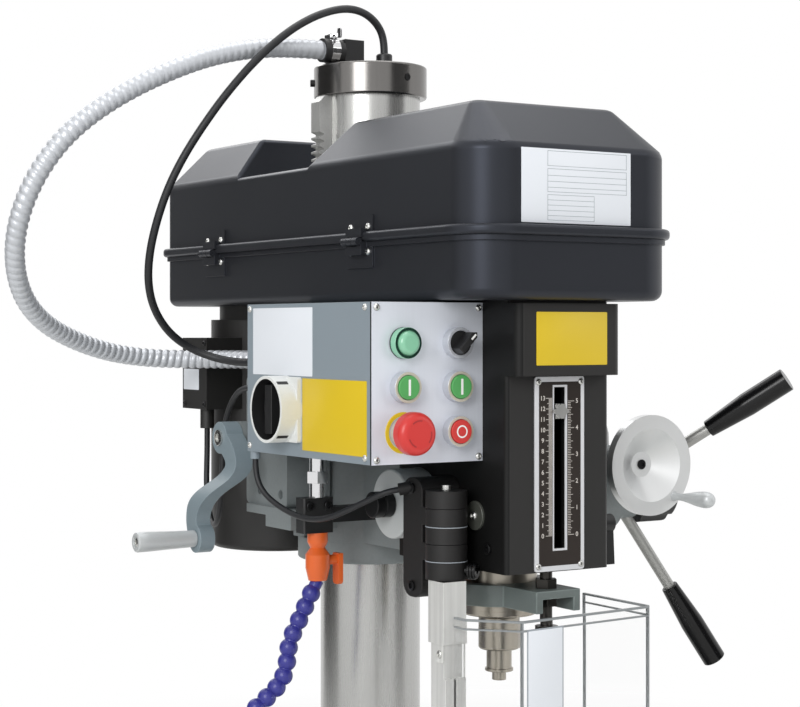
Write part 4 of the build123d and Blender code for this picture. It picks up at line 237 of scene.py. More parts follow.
# A darker copy of cover_black for the front cover's left-facing side: painted shade, where the control box
# shades it.
finish("cover_painted_shade", COAT, "0f0f0f", 0.50, 0.12, 0.10, 8, 1400, 0.3, 0.05,
       shader={"Specular IOR Level": 0.22})
finish("barrel_black", COAT, "1b1a1a", 0.52, 0.15, 0.10, 12, 1100, 0.4, 0.08,
       shader={"Specular IOR Level": 0.36})
finish("casting_grey", COAT, "7c8283", 0.50, 0.18, 0.12, 8, 260, 0.3, 0.25)
finish("box_grey", COAT, "87929a", 0.42, 0.07, 0.08, 5, 1300, 0.2, 0.03)
finish("panel_silver", DRAWN, "dde1ea", 0.38, 0.05, 0.08, 6, 500, 0.1, 0.0, 0.12, UP_AND_DOWN)
finish("bright_steel", DRAWN, "b4b4b2", 0.27, 0.10, 0.08, 10, 700, 0.0, 0.0015, 1.0, UP_AND_DOWN)
finish("ground_steel", TURNED, "a29c91", 0.30, 0.20, 0.14, 14, 1600, 0.2, 0.01, 1.0, SPINDLE_RINGS)
finish("satin_steel", COAT, "a9a9a6", 0.42, 0.08, 0.10, 12, 900, 0.1, 0.0, 0.7)
finish("rack_steel", COAT, "c0c0be", 0.44, 0.25, 0.15, 20, 600, 0.3, 0.03, 0.6)
finish("blackened_steel", DRAWN, "3b3936", 0.30, 0.25, 0.14, 14, 500, 0.8, 0.006, 0.85, UP_AND_DOWN)
finish("polished_black", DRAWN, "777573", 0.20, 0.20, 0.10, 14, 500, 0.3, 0.004, 0.95, UP_AND_DOWN)
finish("screw_black", COAT, "1d1d1e", 0.36, 0.20, 0.12, 30, 900, 0.8, 0.0, 0.6)
finish("screw_bright", COAT, "cdcdca", 0.24, 0.15, 0.12, 40, 900, 0.2, 0.0, 1.0)
finish("spun_aluminium", TURNED, "dcdddd", 0.36, 0.10, 0.12, 12, 1800, 0.1, 0.006, 1.0, WHEEL_RINGS)
# A less metallic copy of spun_aluminium for the wheel's forward-facing faces: painted light, so they look lit
# instead of reflecting the dark around them.
finish("aluminium_front_painted_light", TURNED, "d0d1d1", 0.46, 0.06, 0.08, 12, 1800, 0.1, 0.006, 0.3, WHEEL_RINGS)
finish("drawn_aluminium", DRAWN, "c6c6c3", 0.36, 0.10, 0.12, 9, 900, 0.2, 0.006, 0.9, UP_AND_DOWN)
finish("profile_aluminium", DRAWN, "e0e0dd", 0.36, 0.45, 0.12, 9, 190, 0.2, 0.02, 0.35, UP_AND_DOWN)
finish("cast_aluminium", COAT, "bfc1c2", 0.38, 0.14, 0.12, 14, 500, 0.2, 0.06, 0.85)
finish("chrome", COAT, "dededf", 0.10, 0.05, 0.05, 20, 900, 0.0, 0.0, 1.0)
finish("gloss_black", COAT, "0b0b0c", 0.20, 0.15, 0.06, 15, 700, 0.3, 0.0,
       shader={"Specular IOR Level": 0.34})
finish("moulded_black", COAT, "1b1b1c", 0.42, 0.12, 0.10, 20, 1500, 0.4, 0.03)
finish("rubber_black", COAT, "1a1b1e", 0.50, 0.15, 0.10, 25, 1200, 0.2, 0.03)
finish("switch_white", COAT, "dfe1df", 0.36, 0.06, 0.08, 12, 900, 0.1, 0.02)
finish("bezel_silver", DRAWN, "c4c7ce", 0.34, 0.05, 0.06, 20, 900, 0.1, 0.0, 0.35, SIDE_TO_SIDE)
finish("button_green", COAT, "52a55a", 0.34, 0.06, 0.06, 30, 900, 0.1)
finish("lamp_green", COAT, "86c4a2", 0.22, 0.08, 0.06, 40, 700, 0.1, 0.0, 0.0, None, {"Coat Weight": 0.4})
finish("lamp_dark", COAT, "12352a", 0.24, 0.08, 0.06, 40, 700, 0.1)
finish("button_rim", COAT, "cfc8b8", 0.36, 0.06, 0.06, 40, 700, 0.1, 0.0, 0.3)
finish("mark_red", COAT, "a82a2b", 0.36, 0.06, 0.06, 30, 900)
finish("signal_red", COAT, "cf3531", 0.34, 0.06, 0.06, 30, 900, 0.1)
finish("signal_yellow", COAT, "dabb18", 0.40, 0.05, 0.06, 20, 900, 0.1)
finish("label_white", COAT, "e4e8ee", 0.40, 0.03, 0.06, 12, 900)
finish("mark_white", COAT, "f0f0ee", 0.42, 0.03, 0.05, 30, 900)
finish("mark_silver", COAT, "cfc9c2", 0.40, 0.06, 0.08, 60, 900, 0.0, 0.0, 0.1)
finish("plate_silver", DRAWN, "d6d7da", 0.36, 0.05, 0.08, 9, 900, 0.1, 0.0, 0.15, UP_AND_DOWN)
finish("scale_dark", COAT, "2c2521", 0.32, 0.15, 0.10, 20, 1200)
finish("hose_violet", COAT, "35358c", 0.32, 0.12, 0.08, 40, 900, 0.3)
finish("valve_orange", COAT, "df6426", 0.34, 0.08, 0.08, 40, 900, 0.2)
finish("stop_grey", COAT, "666f6d", 0.40, 0.15, 0.12, 12, 600, 0.6, 0.05)
finish("washer_grey", COAT, "50524c", 0.42, 0.12, 0.10, 20, 700, 0.3, 0.0, 0.2)
finish("crank_blue", COAT, "7d8b92", 0.42, 0.12, 0.10, 10, 700, 0.3, 0.05)
finish("handle_grey", COAT, "c5c8c9", 0.40, 0.10, 0.10, 14, 800, 0.2, 0.02, 0.3)
finish("conduit_silver", COAT, "c6c9ce", 0.38, 0.12, 0.12, 30, 700, 0.0, 0.0, 0.35)
finish("machined_iron", DRAWN, "8f9090", 0.34, 0.15, 0.14, 6, 300, 0.3, 0.01, 0.9, SIDE_TO_SIDE)
finish("clear_sheet", COAT, "fefefe", 0.02, 0.01, 0.03, 6, 300, 0.0, 0.0, 0.0, None,
       {"Transmission Weight": 1.0, "IOR": 1.15})
finish("sheet_edge", COAT, "8c9092", 0.30, 0.10, 0.10, 30, 900)
finish("cap_pale", COAT, "b4b8b8", 0.36, 0.08, 0.08, 20, 900, 0.1, 0.02)
finish("line_grey", COAT, "9aa1a8", 0.45, 0.05, 0.05, 30, 900)
finish("belt_rubber", COAT, "202021", 0.62, 0.20, 0.10, 30, 1000, 0.0, 0.06)


# Mesh helpers, all in millimetres

def piece(name, bm, body, finish_name):
    """A finished piece from a bmesh, riding on a body."""
    bmesh.ops.remove_doubles(bm, verts=bm.verts, dist=WELD)
    bmesh.ops.recalc_face_normals(bm, faces=bm.faces)
    bm.normal_update()
    for face in bm.faces:
        face.smooth = True
    for rim in bm.edges:
        rim.smooth = not HARD_FROM < rim.calc_face_angle(0) < HARD_TO
    mesh = bpy.data.meshes.new(name)
    bm.to_mesh(mesh)
    bm.free()
    made = bpy.data.objects.new(name, mesh)
    scene.collection.objects.link(made)
    mesh.materials.append(FINISHES[finish_name])
    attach(made, body)
    return made


def aim(origin, axis):
    """A placement whose Z axis points along axis."""
    turn = Vector(UP).rotation_difference(Vector(axis).normalized())
    return Matrix.Translation(mm(*origin)) @ turn.to_matrix().to_4x4()


def turned(bm, profile, origin, axis, steps=32, sweep=FULL_TURN, start=0.0):
    """Spins a line of (radius, height) pairs round an axis through origin."""
    place = aim(origin, axis)
    line = [bm.verts.new(place @ mm(r * cos(start), r * sin(start), h)) for r, h in profile]
    edges = [bm.edges.new(pair) for pair in zip(line, line[1:])]
    bmesh.ops.spin(bm, geom=line + edges, cent=place.translation, axis=place.to_3x3() @ Vector(UP),
                   angle=sweep, steps=steps, use_merge=sweep == FULL_TURN)


SLAB_CREASE = radians(60)
ALONG = 0.9
CORNER_STEPS, SOFT_STEPS = 5, 2


def slab(bm, low, high, thin, corner=0.0, edge=0.0):
    """A plate between two corners, with rounded corners seen along thin and softened edges."""
    part = bmesh.new()
    low, high = mm(*low), mm(*high)
    size = Matrix.Diagonal((*(high - low), 1.0))
    bmesh.ops.create_cube(part, size=1.0, matrix=Matrix.Translation((low + high) / 2) @ size)
    if corner:
        upright = [e for e in part.edges
                   if abs((e.verts[1].co - e.verts[0].co).normalized()["xyz".index(thin)]) > ALONG]
        bmesh.ops.bevel(part, geom=upright, offset=corner * MM, segments=CORNER_STEPS, profile=0.5,
                        affect="EDGES", material=-1)
    if edge:
        part.normal_update()
        rims = [e for e in part.edges if e.calc_face_angle(0) > SLAB_CREASE]
        bmesh.ops.bevel(part, geom=rims, offset=edge * MM, segments=SOFT_STEPS, profile=0.5,
                        affect="EDGES", material=-1)
    joined(bm, part)


def joined(bm, part):
    """Adds one bmesh to another."""
    mesh = bpy.data.meshes.new("part")
    part.to_mesh(mesh)
    part.free()
    bm.from_mesh(mesh)
    bpy.data.meshes.remove(mesh)


SINK = 0.3
HEAD_STEPS = 24
SOFT_RIM = 0.4


def cap_screw(bm, origin, axis, radius, height):
    """A cylinder head with a socket."""
    socket = radius * 0.55
    floor = height * 0.35
    turned(bm, [(0, floor), (socket, floor), (socket, height), (radius * 0.9, height),
                (radius, height * 0.88), (radius, -SINK), (0, -SINK)], origin, axis, HEAD_STEPS)


def dome_screw(bm, origin, axis, radius, height):
    """A rounded head with a small recess."""
    rise = [(radius * sin(t * pi / 12), height * cos(t * pi / 12)) for t in range(2, 7)]
    floor = height * 0.45
    turned(bm, [(0, floor), (rise[0][0], floor), *rise, (radius, -SINK), (0, -SINK)], origin, axis,
           HEAD_STEPS)


def screws(name, body, finish_name, kind, heads):
    """One piece of several screws. heads holds (origin, axis, radius, height) of each."""
    bm = bmesh.new()
    for head in heads:
        kind(bm, *head)
    piece(name, bm, body, finish_name)


def turned_piece(name, body, finish_name, outline, origin, axis, steps):
    """A piece made of one turned outline."""
    bm = bmesh.new()
    turned(bm, outline, origin, axis, steps)
    return piece(name, bm, body, finish_name)


def band(inner, outer, low, high):
    """The closed outline of a flat ring."""
    return [(inner, low), (inner, high), (outer, high), (outer, low), (inner, low)]


def washer(radius, bore, thickness):
    """The outline of a washer with a softened outer edge."""
    return [(bore, 0), (bore, thickness), (radius - SOFT_RIM, thickness), (radius, thickness - SOFT_RIM),
            (radius, -SINK), (bore, -SINK)]


# CAD nodes: each gets a finish, and most get a copy with rounded edges in their place

def body_of(node):
    """The body that a node rides on."""
    return NODES[node]["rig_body"]


CREASE = radians(28)
FLAT_BELOW = radians(0.6)
EDGE_STEPS, BROAD_STEPS = 3, 5


def round_edges(bm, layer, edge, segments, takes, clamp):
    """Rounds the creased edges whose two ends pass the test takes, and marks the new faces for the painted
    edge highlight.
    """
    bm.normal_update()
    rims = [e for e in bm.edges if len(e.link_faces) == 2 and e.calc_face_angle(0) > CREASE
            and all(takes(e, v.co / MM) for v in e.verts)]
    made = bmesh.ops.bevel(bm, geom=rims, offset=edge * MM, offset_type="OFFSET", segments=segments,
                           profile=0.5, affect="EDGES", material=-1, clamp_overlap=clamp)
    for face in made["faces"]:
        face[layer] = 1.0


def rounded(node, finish_name, edge, others=(), broad=()):
    """A copy of a node with its edges rounded by edge, in the node's place.

    others holds further finishes, each with a test on the middle and the normal of a face that takes it.
    broad holds larger sizes, each with the test of the edges that get it first.
    """
    bm = bmesh.new()
    bm.from_mesh(NODES[node].data)
    bmesh.ops.remove_doubles(bm, verts=bm.verts, dist=WELD)
    bmesh.ops.dissolve_limit(bm, angle_limit=FLAT_BELOW, verts=bm.verts, edges=bm.edges,
                             use_dissolve_boundaries=False, delimit=set())
    layer = bm.faces.layers.float.new(EDGE_LAYER)
    for wide, takes in broad:
        round_edges(bm, layer, wide, BROAD_STEPS, takes, False)
    if edge:
        round_edges(bm, layer, edge, EDGE_STEPS, lambda rim, at: True, True)
    for index, (_, takes) in enumerate(others, 1):
        for face in bm.faces:
            if takes(face.calc_center_median() / MM, face.normal):
                face.material_index = index
    made = piece(node + "_form", bm, body_of(node), finish_name)
    for extra, _ in others:
        made.data.materials.append(FINISHES[extra])
    made.modifiers.new("even_faces", "WEIGHTED_NORMAL").keep_sharp = True
    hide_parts(node)


ROUNDED_NODES = {
    "base_casting": ("casting_grey", 3.0), "column_foot": ("casting_grey", 2.5),
    "foot_bolts": ("screw_black", 0.6), "column": ("bright_steel", 0.8),
    "column_cap": ("polished_black", 1.2), "stop_ring": ("casting_grey", 1.2),
    "column_rack": ("rack_steel", 0.0), "junction_block": ("moulded_black", 0.8),
    "head_casting": ("casting_grey", 2.0), "front_cover": ("cover_black", 2.0),
    "scale_plate": ("plate_silver", 0.3), "spring_cap": ("cap_pale", 1.0),
    "worm_housing": ("casting_grey", 1.2), "elevating_gearbox": ("casting_grey", 1.5),
    "belt_tray": ("shell_black", 1.2), "belt_lid": ("shell_black", 0.0),
    "drive_belt": ("belt_rubber", 0.0), "motor_housing": ("cover_black", 1.2),
    "control_box": ("box_grey", 1.2), "front_panel": ("panel_silver", 0.5),
    "button_bezels": ("bezel_silver", 0.5), "pilot_lamp": ("lamp_green", 0.6),
    "switch_housing": ("switch_white", 1.0), "coolant_block": ("moulded_black", 0.6),
    "coolant_valve": ("valve_orange", 0.5), "guard_plate": ("barrel_black", 0.8),
    "elevating_pinion": ("rack_steel", 0.0), "elevating_crank": ("crank_blue", 1.5),
    "quill_sleeve": ("ground_steel", 0.6),
    "spindle_bearings": ("ground_steel", 0.3), "stop_bracket": ("stop_grey", 1.0),
    "depth_rod": ("blackened_steel", 0.4), "feed_pinion": ("rack_steel", 0.0),
    "spoke_hub": ("casting_grey", 1.0), "feed_spokes": ("satin_steel", 0.3),
    "spoke_grips": ("gloss_black", 0.8), "clutch_knob": ("moulded_black", 1.0),
    "spindle_pulley": ("cast_aluminium", 0.4), "spindle_shaft": ("ground_steel", 0.5),
    "tool_arbor": ("ground_steel", 0.4), "motor_rotor": ("rack_steel", 0.3),
    "motor_pulley": ("cast_aluminium", 0.4), "fine_wheel": ("spun_aluminium", 0.5),
    "reverse_button": ("button_green", 0.4), "forward_button": ("button_green", 0.4),
    "stop_button": ("signal_red", 0.4), "emergency_button": ("signal_red", 0.3),
    "selector_knob": ("moulded_black", 0.4), "switch_knob": ("moulded_black", 0.8),
    "valve_lever": ("valve_orange", 0.4), "coolant_hose": ("hose_violet", 0.0),
    "quill_lock": ("moulded_black", 0.5), "guard_arm": ("barrel_black", 0.6),
    "guard_slide": ("profile_aluminium", 0.4), "guard_shield": ("clear_sheet", 0.3),
}
GUARD_PROFILE_TOP = 643.5
GUARD_BOLT_FOOT = 728.5
BASE_FACE = 69
BLOCK_TOP = 709.5
NUT_FACE = -97.5
POINTER_BACK = -219.5
SWITCH_Y, SWITCH_Z = -16, 802
CUP_R, CUP_FLOOR, CUP_RIM = 31.5, -188.5, -206.5
FINE_HANDLE_FOOT = -175.5
LAMP_SIDE, LAMP_FOOT, LAMP_BACK = -120, 848, -183
MOTOR_PLATE_FRONT = 205
LID_GAP_LEFT, LID_GAP_RIGHT = -80, 118
LID_GAP_FRONT, LID_GAP_BACK = 55, 225
LID_TOP_INSIDE, LID_SHOULDER = 1094, 1050
LID_RIM, LID_MIDDLE = (967, 977), 76
SKIN_REACH, RIM_REACH = 1.5, 0.5
UPRIGHT = 0.1
# How closely a face has to look one way to take a finish there
STRAIGHT, NEARLY, MOSTLY, PARTLY = 0.95, 0.9, 0.6, 0.3


def on_lamp(at):
    """Whether a point of the bezels lies on the pilot lamp's."""
    return at.x < LAMP_SIDE and at.z > LAMP_FOOT


def in_cup(at):
    """Whether a point lies inside the main switch's cup."""
    return CUP_RIM < at.x < CUP_FLOOR and Vector((at.y - SWITCH_Y, at.z - SWITCH_Z)).length < CUP_R


def by_lid_gap(at):
    """Whether a point lies at the gap that the lid leaves for the column, which is open to the right."""
    return at.x > LID_GAP_LEFT and LID_GAP_FRONT < at.y < LID_GAP_BACK


def on_lid_form(rim, at):
    """Edges of the lid's outer form above its sides, clear of the gap for the column."""
    on_skin = at.z > LID_TOP_INSIDE or abs(at.z - LID_SHOULDER) < SKIN_REACH
    return rim.is_convex and on_skin and not by_lid_gap(at)


def on_lid_rim(rim, at):
    """Level outer edges of the lid's rim: one face looks away from the middle of the lid."""
    way = Vector((at.x, at.y - LID_MIDDLE, 0))
    looks_out = any(abs(face.normal.z) < UPRIGHT and face.normal.dot(way) > 0 for face in rim.link_faces)
    level = abs(rim.verts[0].co.z - rim.verts[1].co.z) < WELD
    inner_lip = by_lid_gap(at) and at.x < LID_GAP_RIGHT
    by_rim = min(abs(at.z - height) for height in LID_RIM) < RIM_REACH
    return rim.is_convex and level and by_rim and looks_out and not inner_lip


BROAD_EDGES = {"belt_lid": [(5.0, on_lid_form), (3.6, on_lid_rim)]}
OTHER_FINISHES = {
    "guard_arm": [("profile_aluminium", lambda at, way: at.z < GUARD_PROFILE_TOP),
                  ("screw_bright", lambda at, way: at.z > GUARD_BOLT_FOOT)],
    "base_casting": [("machined_iron", lambda at, way: way.z > NEARLY and at.z > BASE_FACE)],
    "coolant_block": [("chrome", lambda at, way: at.z > BLOCK_TOP)],
    "feed_pinion": [("screw_black", lambda at, way: at.x < NUT_FACE)],
    "depth_rod": [("drawn_aluminium", lambda at, way: at.y < POINTER_BACK)],
    "switch_housing": [("moulded_black", lambda at, way: in_cup(at))],
    # The wheel's forward-facing faces take the lit copy of its aluminium: painted light.
    "fine_wheel": [("aluminium_front_painted_light", lambda at, way: way.y < -STRAIGHT),
                   ("handle_grey", lambda at, way: at.y < FINE_HANDLE_FOOT)],
    "guard_shield": [("sheet_edge", lambda at, way: abs(way.z) > MOSTLY)],
    "front_panel": [("moulded_black", lambda at, way: way.x < -MOSTLY)],
    "button_bezels": [("lamp_green", lambda at, way: on_lamp(at) and way.y > -NEARLY),
                      ("lamp_dark", lambda at, way: on_lamp(at) and (way.y < -NEARLY or at.y > LAMP_BACK)),
                      ("button_rim", lambda at, way: at.z < LAMP_FOOT and way.y < -NEARLY)],
    # The front cover's left-facing side takes the darker copy of its paint: painted shade.
    "front_cover": [("cover_painted_shade", lambda at, way: way.x < -PARTLY)],
    "head_casting": [("cover_black", lambda at, way: at.y > MOTOR_PLATE_FRONT)],
}
for node_name, (finish_name, edge_size) in ROUNDED_NODES.items():
    rounded(node_name, finish_name, edge_size, OTHER_FINISHES.get(node_name, ()),
            BROAD_EDGES.get(node_name, ()))


# Cords: the routes are the part's own, in millimetres

CONDUIT_ROUTE = (
    (-62, 128, 1185), (-118, 128, 1185), (-190, 128, 1171), (-256, 128, 1144), (-310, 129, 1114),
    (-352, 132, 1081), (-379, 139, 1045), (-394, 151, 1007), (-396, 170, 971), (-386, 194, 938),
    (-366, 219, 909), (-335, 243, 886), (-295, 263, 869), (-254, 277, 857), (-220, 283, 851),
    (-188, 281, 848), (-157, 270, 847), (-131, 251, 847), (-112, 226, 847), (-99, 197, 847),
    (-94, 166, 846), (-93, 133, 846), (-93, 100, 846),
)
CABLE_ROUTE = (
    (18, 128, 1187), (18, 128, 1202), (10, 127, 1218), (-8, 123, 1229), (-31, 118, 1232),
    (-57, 113, 1227), (-87, 110, 1215), (-119, 108, 1195), (-153, 109, 1165), (-184, 114, 1129),
    (-208, 121, 1094), (-226, 130, 1062), (-239, 140, 1030), (-247, 151, 996), (-250, 164, 961),
    (-245, 179, 929), (-230, 196, 901), (-207, 207, 876), (-180, 209, 859), (-157, 196, 849),
    (-143, 173, 845), (-136, 148, 845), (-134, 123, 846), (-134, 100, 846),
)
GUARD_CABLE_ROUTE = (
    (-178, 61, 748), (-178, 61, 731), (-174, 50, 712), (-164, 24, 697), (-155, -6, 690),
    (-148, -36, 693), (-139, -62, 704), (-134, -81, 712), (-129, -97, 719), (-122, -107, 724),
    (-113, -112, 726),
)
MOTOR_CABLE_ROUTE = (
    (-116, 300, 767), (-116, 300, 747), (-117, 299, 725), (-119, 296, 703), (-121, 288, 683),
    (-125, 274, 667), (-130, 256, 660), (-135, 238, 663), (-139, 223, 675), (-142, 213, 694),
    (-143, 208, 716), (-143, 206, 739), (-143, 203, 762), (-144, 195, 784), (-145, 181, 801),
    (-146, 163, 813), (-147, 143, 818), (-148, 123, 818), (-148, 103, 816), (-148, 82, 816),
)
CONDUIT_D, CONDUIT_LENGTH = 21.0, 957.6
CABLE_D, CABLE_LENGTH = 8.5, 724.0
GUARD_CABLE_D, GUARD_CABLE_LENGTH = 6.0, 224.9
MOTOR_CABLE_D, MOTOR_CABLE_LENGTH = 6.5, 403.0
CONDUIT_PITCH = 8.5
CONDUIT_GROOVE = 1.1
CORD_STEPS, SPIRAL_STEPS = 12, 48
CORD_SIDES = 5


def cord_curve(name, route, diameter, steps):
    """A smooth NURBS curve on a cord's route."""
    data = bpy.data.curves.new(name, "CURVE")
    data.dimensions = "3D"
    data.resolution_u = steps
    spline = data.splines.new("NURBS")
    spline.points.add(len(route) - 1)
    for point, place in zip(spline.points, route):
        point.co = (*mm(*place), 1.0)
    spline.order_u = 3
    spline.use_endpoint_u = True
    data.bevel_depth = diameter / 2 * MM
    data.bevel_resolution = CORD_SIDES
    data.use_fill_caps = diameter > 0
    made = bpy.data.objects.new(name, data)
    scene.collection.objects.link(made)
    return made


def curve_mesh(name, route, diameter, steps):
    """The mesh of such a curve: a tube, or its centreline where diameter is 0."""
    curve = cord_curve(name + "_line", route, diameter, steps)
    bpy.context.view_layer.update()
    mesh = bpy.data.meshes.new_from_object(curve)
    data = curve.data
    bpy.data.objects.remove(curve)
    bpy.data.curves.remove(data)
    return mesh


def tube(name, route, diameter, steps):
    """A mesh tube on a cord's route, and the points of its centreline."""
    line = curve_mesh(name, route, 0, steps)
    points = [vert.co.copy() for vert in line.vertices]
    bpy.data.meshes.remove(line)
    mesh = curve_mesh(name, route, diameter, steps)
    mesh.name = name
    mesh.shade_smooth()
    made = bpy.data.objects.new(name, mesh)
    scene.collection.objects.link(made)
    return made, points


def wind_groove(mesh, points, pitch, depth):
    """Cuts a spiral groove round a tube."""
    sides = len(mesh.vertices) // len(points)
    travel = 0.0
    for ring, centre in enumerate(points):
        travel += (centre - points[ring - 1]).length if ring else 0.0
        for side in range(sides):
            vert = mesh.vertices[ring * sides + side]
            phase = travel / (pitch * MM) + side / sides
            spoke = vert.co - centre
            vert.co -= spoke.normalized() * depth * MM * (0.5 - 0.5 * cos(FULL_TURN * phase)) ** 2


conduit, conduit_points = tube("flexible_conduit_spiral", CONDUIT_ROUTE, CONDUIT_D, SPIRAL_STEPS)
wind_groove(conduit.data, conduit_points, CONDUIT_PITCH, CONDUIT_GROOVE)
cable, cable_points = tube("power_cable_sheath", CABLE_ROUTE, CABLE_D, CORD_STEPS)
for cord, node_name, points, route, length, diameter, stiffness, finish_name in (
        (conduit, "flexible_conduit", conduit_points, CONDUIT_ROUTE, CONDUIT_LENGTH, CONDUIT_D, "stiff",
         "conduit_silver"),
        (cable, "power_cable", cable_points, CABLE_ROUTE, CABLE_LENGTH, CABLE_D, "medium", "rubber_black")):
    cord.data.materials.append(FINISHES[finish_name])
    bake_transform(cord)
    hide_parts(node_name)
for name, node_name, route, length, diameter in (
        ("guard_cable_sheath", "guard_cable", GUARD_CABLE_ROUTE, GUARD_CABLE_LENGTH, GUARD_CABLE_D),
        ("motor_cable_sheath", "motor_cable", MOTOR_CABLE_ROUTE, MOTOR_CABLE_LENGTH, MOTOR_CABLE_D)):
    cord = cord_curve(name, route, diameter, CORD_STEPS)
    cord.data.materials.append(FINISHES["rubber_black"])
    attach(cord, "head")
    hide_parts(node_name)


# Plates and labels, all bare

LID_FRONT = -256
NOSE_FRONT = corners("front_cover")[0].y
BOX_SIDE = corners("control_box")[0].x
TERMINAL_SIDE = corners("motor_housing")[0].x
PLATE_PROUD, PLATE_SINK = 0.4, 0.4
LID_PLATE, LID_PLATE_PROUD = (-71, 978.5, 56, 1047), 0.6
NOSE_PLATE, NOSE_PLATE_PROUD = (-40, 847, 43, 897), 0.5
BOX_WHITE_PLATE = (-69, 835, 54, 902)
BOX_YELLOW_PLATE = (-171, 763, -49.5, 833)
TERMINAL_PLATE = (299, 811, 339, 835)


def plate(name, body, finish_name, low, high, thin, corner=1.0, edge=0.1, place=Matrix.Identity(4)):
    """A bare plate. place carries it from the two corners given to where it lies."""
    bm = bmesh.new()
    slab(bm, low, high, thin, corner, edge)
    bmesh.ops.transform(bm, matrix=place, verts=bm.verts)
    piece(name, bm, body, finish_name)


def front_plate(name, body, finish_name, face, sides, proud, corner):
    """A plate on a face that looks to the front. sides are its left, bottom, right and top."""
    left, bottom, right, top = sides
    plate(name, body, finish_name, (left, face - proud, bottom), (right, face + PLATE_SINK, top), "y", corner)


def side_plate(name, finish_name, face, sides):
    """A plate of the head on a face that looks to the left. sides are its front, bottom, back and top."""
    front, bottom, back, top = sides
    plate(name, "head", finish_name, (face - PLATE_PROUD, front, bottom), (face + PLATE_SINK, back, top), "x")


front_plate("lid_plate", "lid", "label_white", LID_FRONT, LID_PLATE, LID_PLATE_PROUD, 0.6)
front_plate("nose_plate", "head", "signal_yellow", NOSE_FRONT, NOSE_PLATE, NOSE_PLATE_PROUD, 1.0)
side_plate("box_white_plate", "label_white", BOX_SIDE, BOX_WHITE_PLATE)
side_plate("box_yellow_plate", "signal_yellow", BOX_SIDE, BOX_YELLOW_PLATE)
side_plate("terminal_plate", "label_white", TERMINAL_SIDE, TERMINAL_PLATE)

# Ruled tables of the lid plate: left, right and rows of each, as shares of its sides from the top left
RULED_TABLES = (
    (0.233, 0.959, (0.03, 0.23)),
    (0.233, 0.959, (0.27, 0.36, 0.44, 0.52, 0.58)),
    (0.233, 0.657, (0.62, 0.69, 0.76, 0.83, 0.90, 0.96)),
)
RULE_HALF = 0.22
RULE_FRONT, RULE_BACK = LID_FRONT - 0.68, LID_FRONT - 0.5


def rule(bm, first, last, high, low):
    """One line of a table, between two shares across and two shares down."""
    left, bottom, right, top = LID_PLATE
    wide, tall = right - left, top - bottom
    slab(bm, (left + first * wide - RULE_HALF, RULE_FRONT, top - low * tall - RULE_HALF),
         (left + last * wide + RULE_HALF, RULE_BACK, top - high * tall + RULE_HALF), "y")


rules = bmesh.new()
for first, last, rows in RULED_TABLES:
    for row in rows:
        rule(rules, first, last, row, row)
    for side in (first, last):
        rule(rules, side, side, rows[0], rows[-1])
piece("lid_plate_rules", rules, "lid", "line_grey")


# Depth scale: a dark field with a slot, ticks and numbers

SCALE_FRONT = corners("scale_plate")[0].y
SCALE_ZERO = 685.5
SCALE_FIELD = (-24.5, 657, 24.5, 831)
SCALE_SLOT = (-8.7, 671, 8.7, 828)
FIELD_FRONT, FIELD_BACK = SCALE_FRONT - 0.25, SCALE_FRONT + 0.1
TICK_FRONT, TICK_BACK = FIELD_FRONT - 0.08, FIELD_FRONT + 0.05
TICK_START, TICK_HALF = 9.2, 0.24
INCH = 25.4
CM_RANGE, INCH_RANGE = 13, 5
# Lengths of the ticks at every so many steps, the longest first
CM_TICKS = ((10, 7.5), (5, 5.8), (1, 4.2))
INCH_TICKS = ((16, 7.5), (8, 6.0), (4, 5.0), (1, 3.4))
CM_ACROSS, INCH_ACROSS = -20.3, 20.0
NUMBER_SIZE, NUMBER_WEIGHT = 6.0, 0.09
NUMBER_HALF, NUMBER_MIDDLE = 0.04, FIELD_FRONT - 0.03


def ring_field(bm, outer, inner, back, front):
    """A flat field with a rectangular hole, given as (left, bottom, right, top) sizes."""
    loops = []
    for left, bottom, right, top in (outer, inner):
        ring = [bm.verts.new(mm(x, front, z))
                for x, z in ((left, bottom), (right, bottom), (right, top), (left, top))]
        loops += [bm.edges.new(pair) for pair in zip(ring, ring[1:] + ring[:1])]
    made = bmesh.ops.bridge_loops(bm, edges=loops)
    thick = bmesh.ops.extrude_face_region(bm, geom=made["faces"])
    moved = [g for g in thick["geom"] if isinstance(g, bmesh.types.BMVert)]
    bmesh.ops.translate(bm, verts=moved, vec=mm(0, back - front, 0))


def tick(bm, left, right, height):
    """One tick of the scale."""
    slab(bm, (left, TICK_FRONT, height - TICK_HALF), (right, TICK_BACK, height + TICK_HALF), "y")


def tick_reach(step, lengths):
    """Where the step-th tick ends, counted from the middle of the scale."""
    return TICK_START + next(length for divisor, length in lengths if step % divisor == 0)


def numbers(name, last, pitch, across):
    """A column of numbers from 0 to last as one mesh."""
    upright = Matrix.Rotation(pi / 2, 4, "X")
    bm = bmesh.new()
    for number in range(last + 1):
        data = bpy.data.curves.new(name, "FONT")
        data.body = str(number)
        data.size = NUMBER_SIZE * MM
        data.align_x = "CENTER"
        data.align_y = "CENTER"
        data.extrude = NUMBER_HALF * MM
        data.offset = NUMBER_WEIGHT * MM
        holder = bpy.data.objects.new(name, data)
        scene.collection.objects.link(holder)
        bpy.context.view_layer.update()
        mesh = bpy.data.meshes.new_from_object(holder)
        place = mm(across, NUMBER_MIDDLE, SCALE_ZERO + pitch * number)
        mesh.transform(Matrix.Translation(place) @ upright)
        bm.from_mesh(mesh)
        bpy.data.meshes.remove(mesh)
        bpy.data.objects.remove(holder)
        bpy.data.curves.remove(data)
    piece(name, bm, "head", "mark_silver")


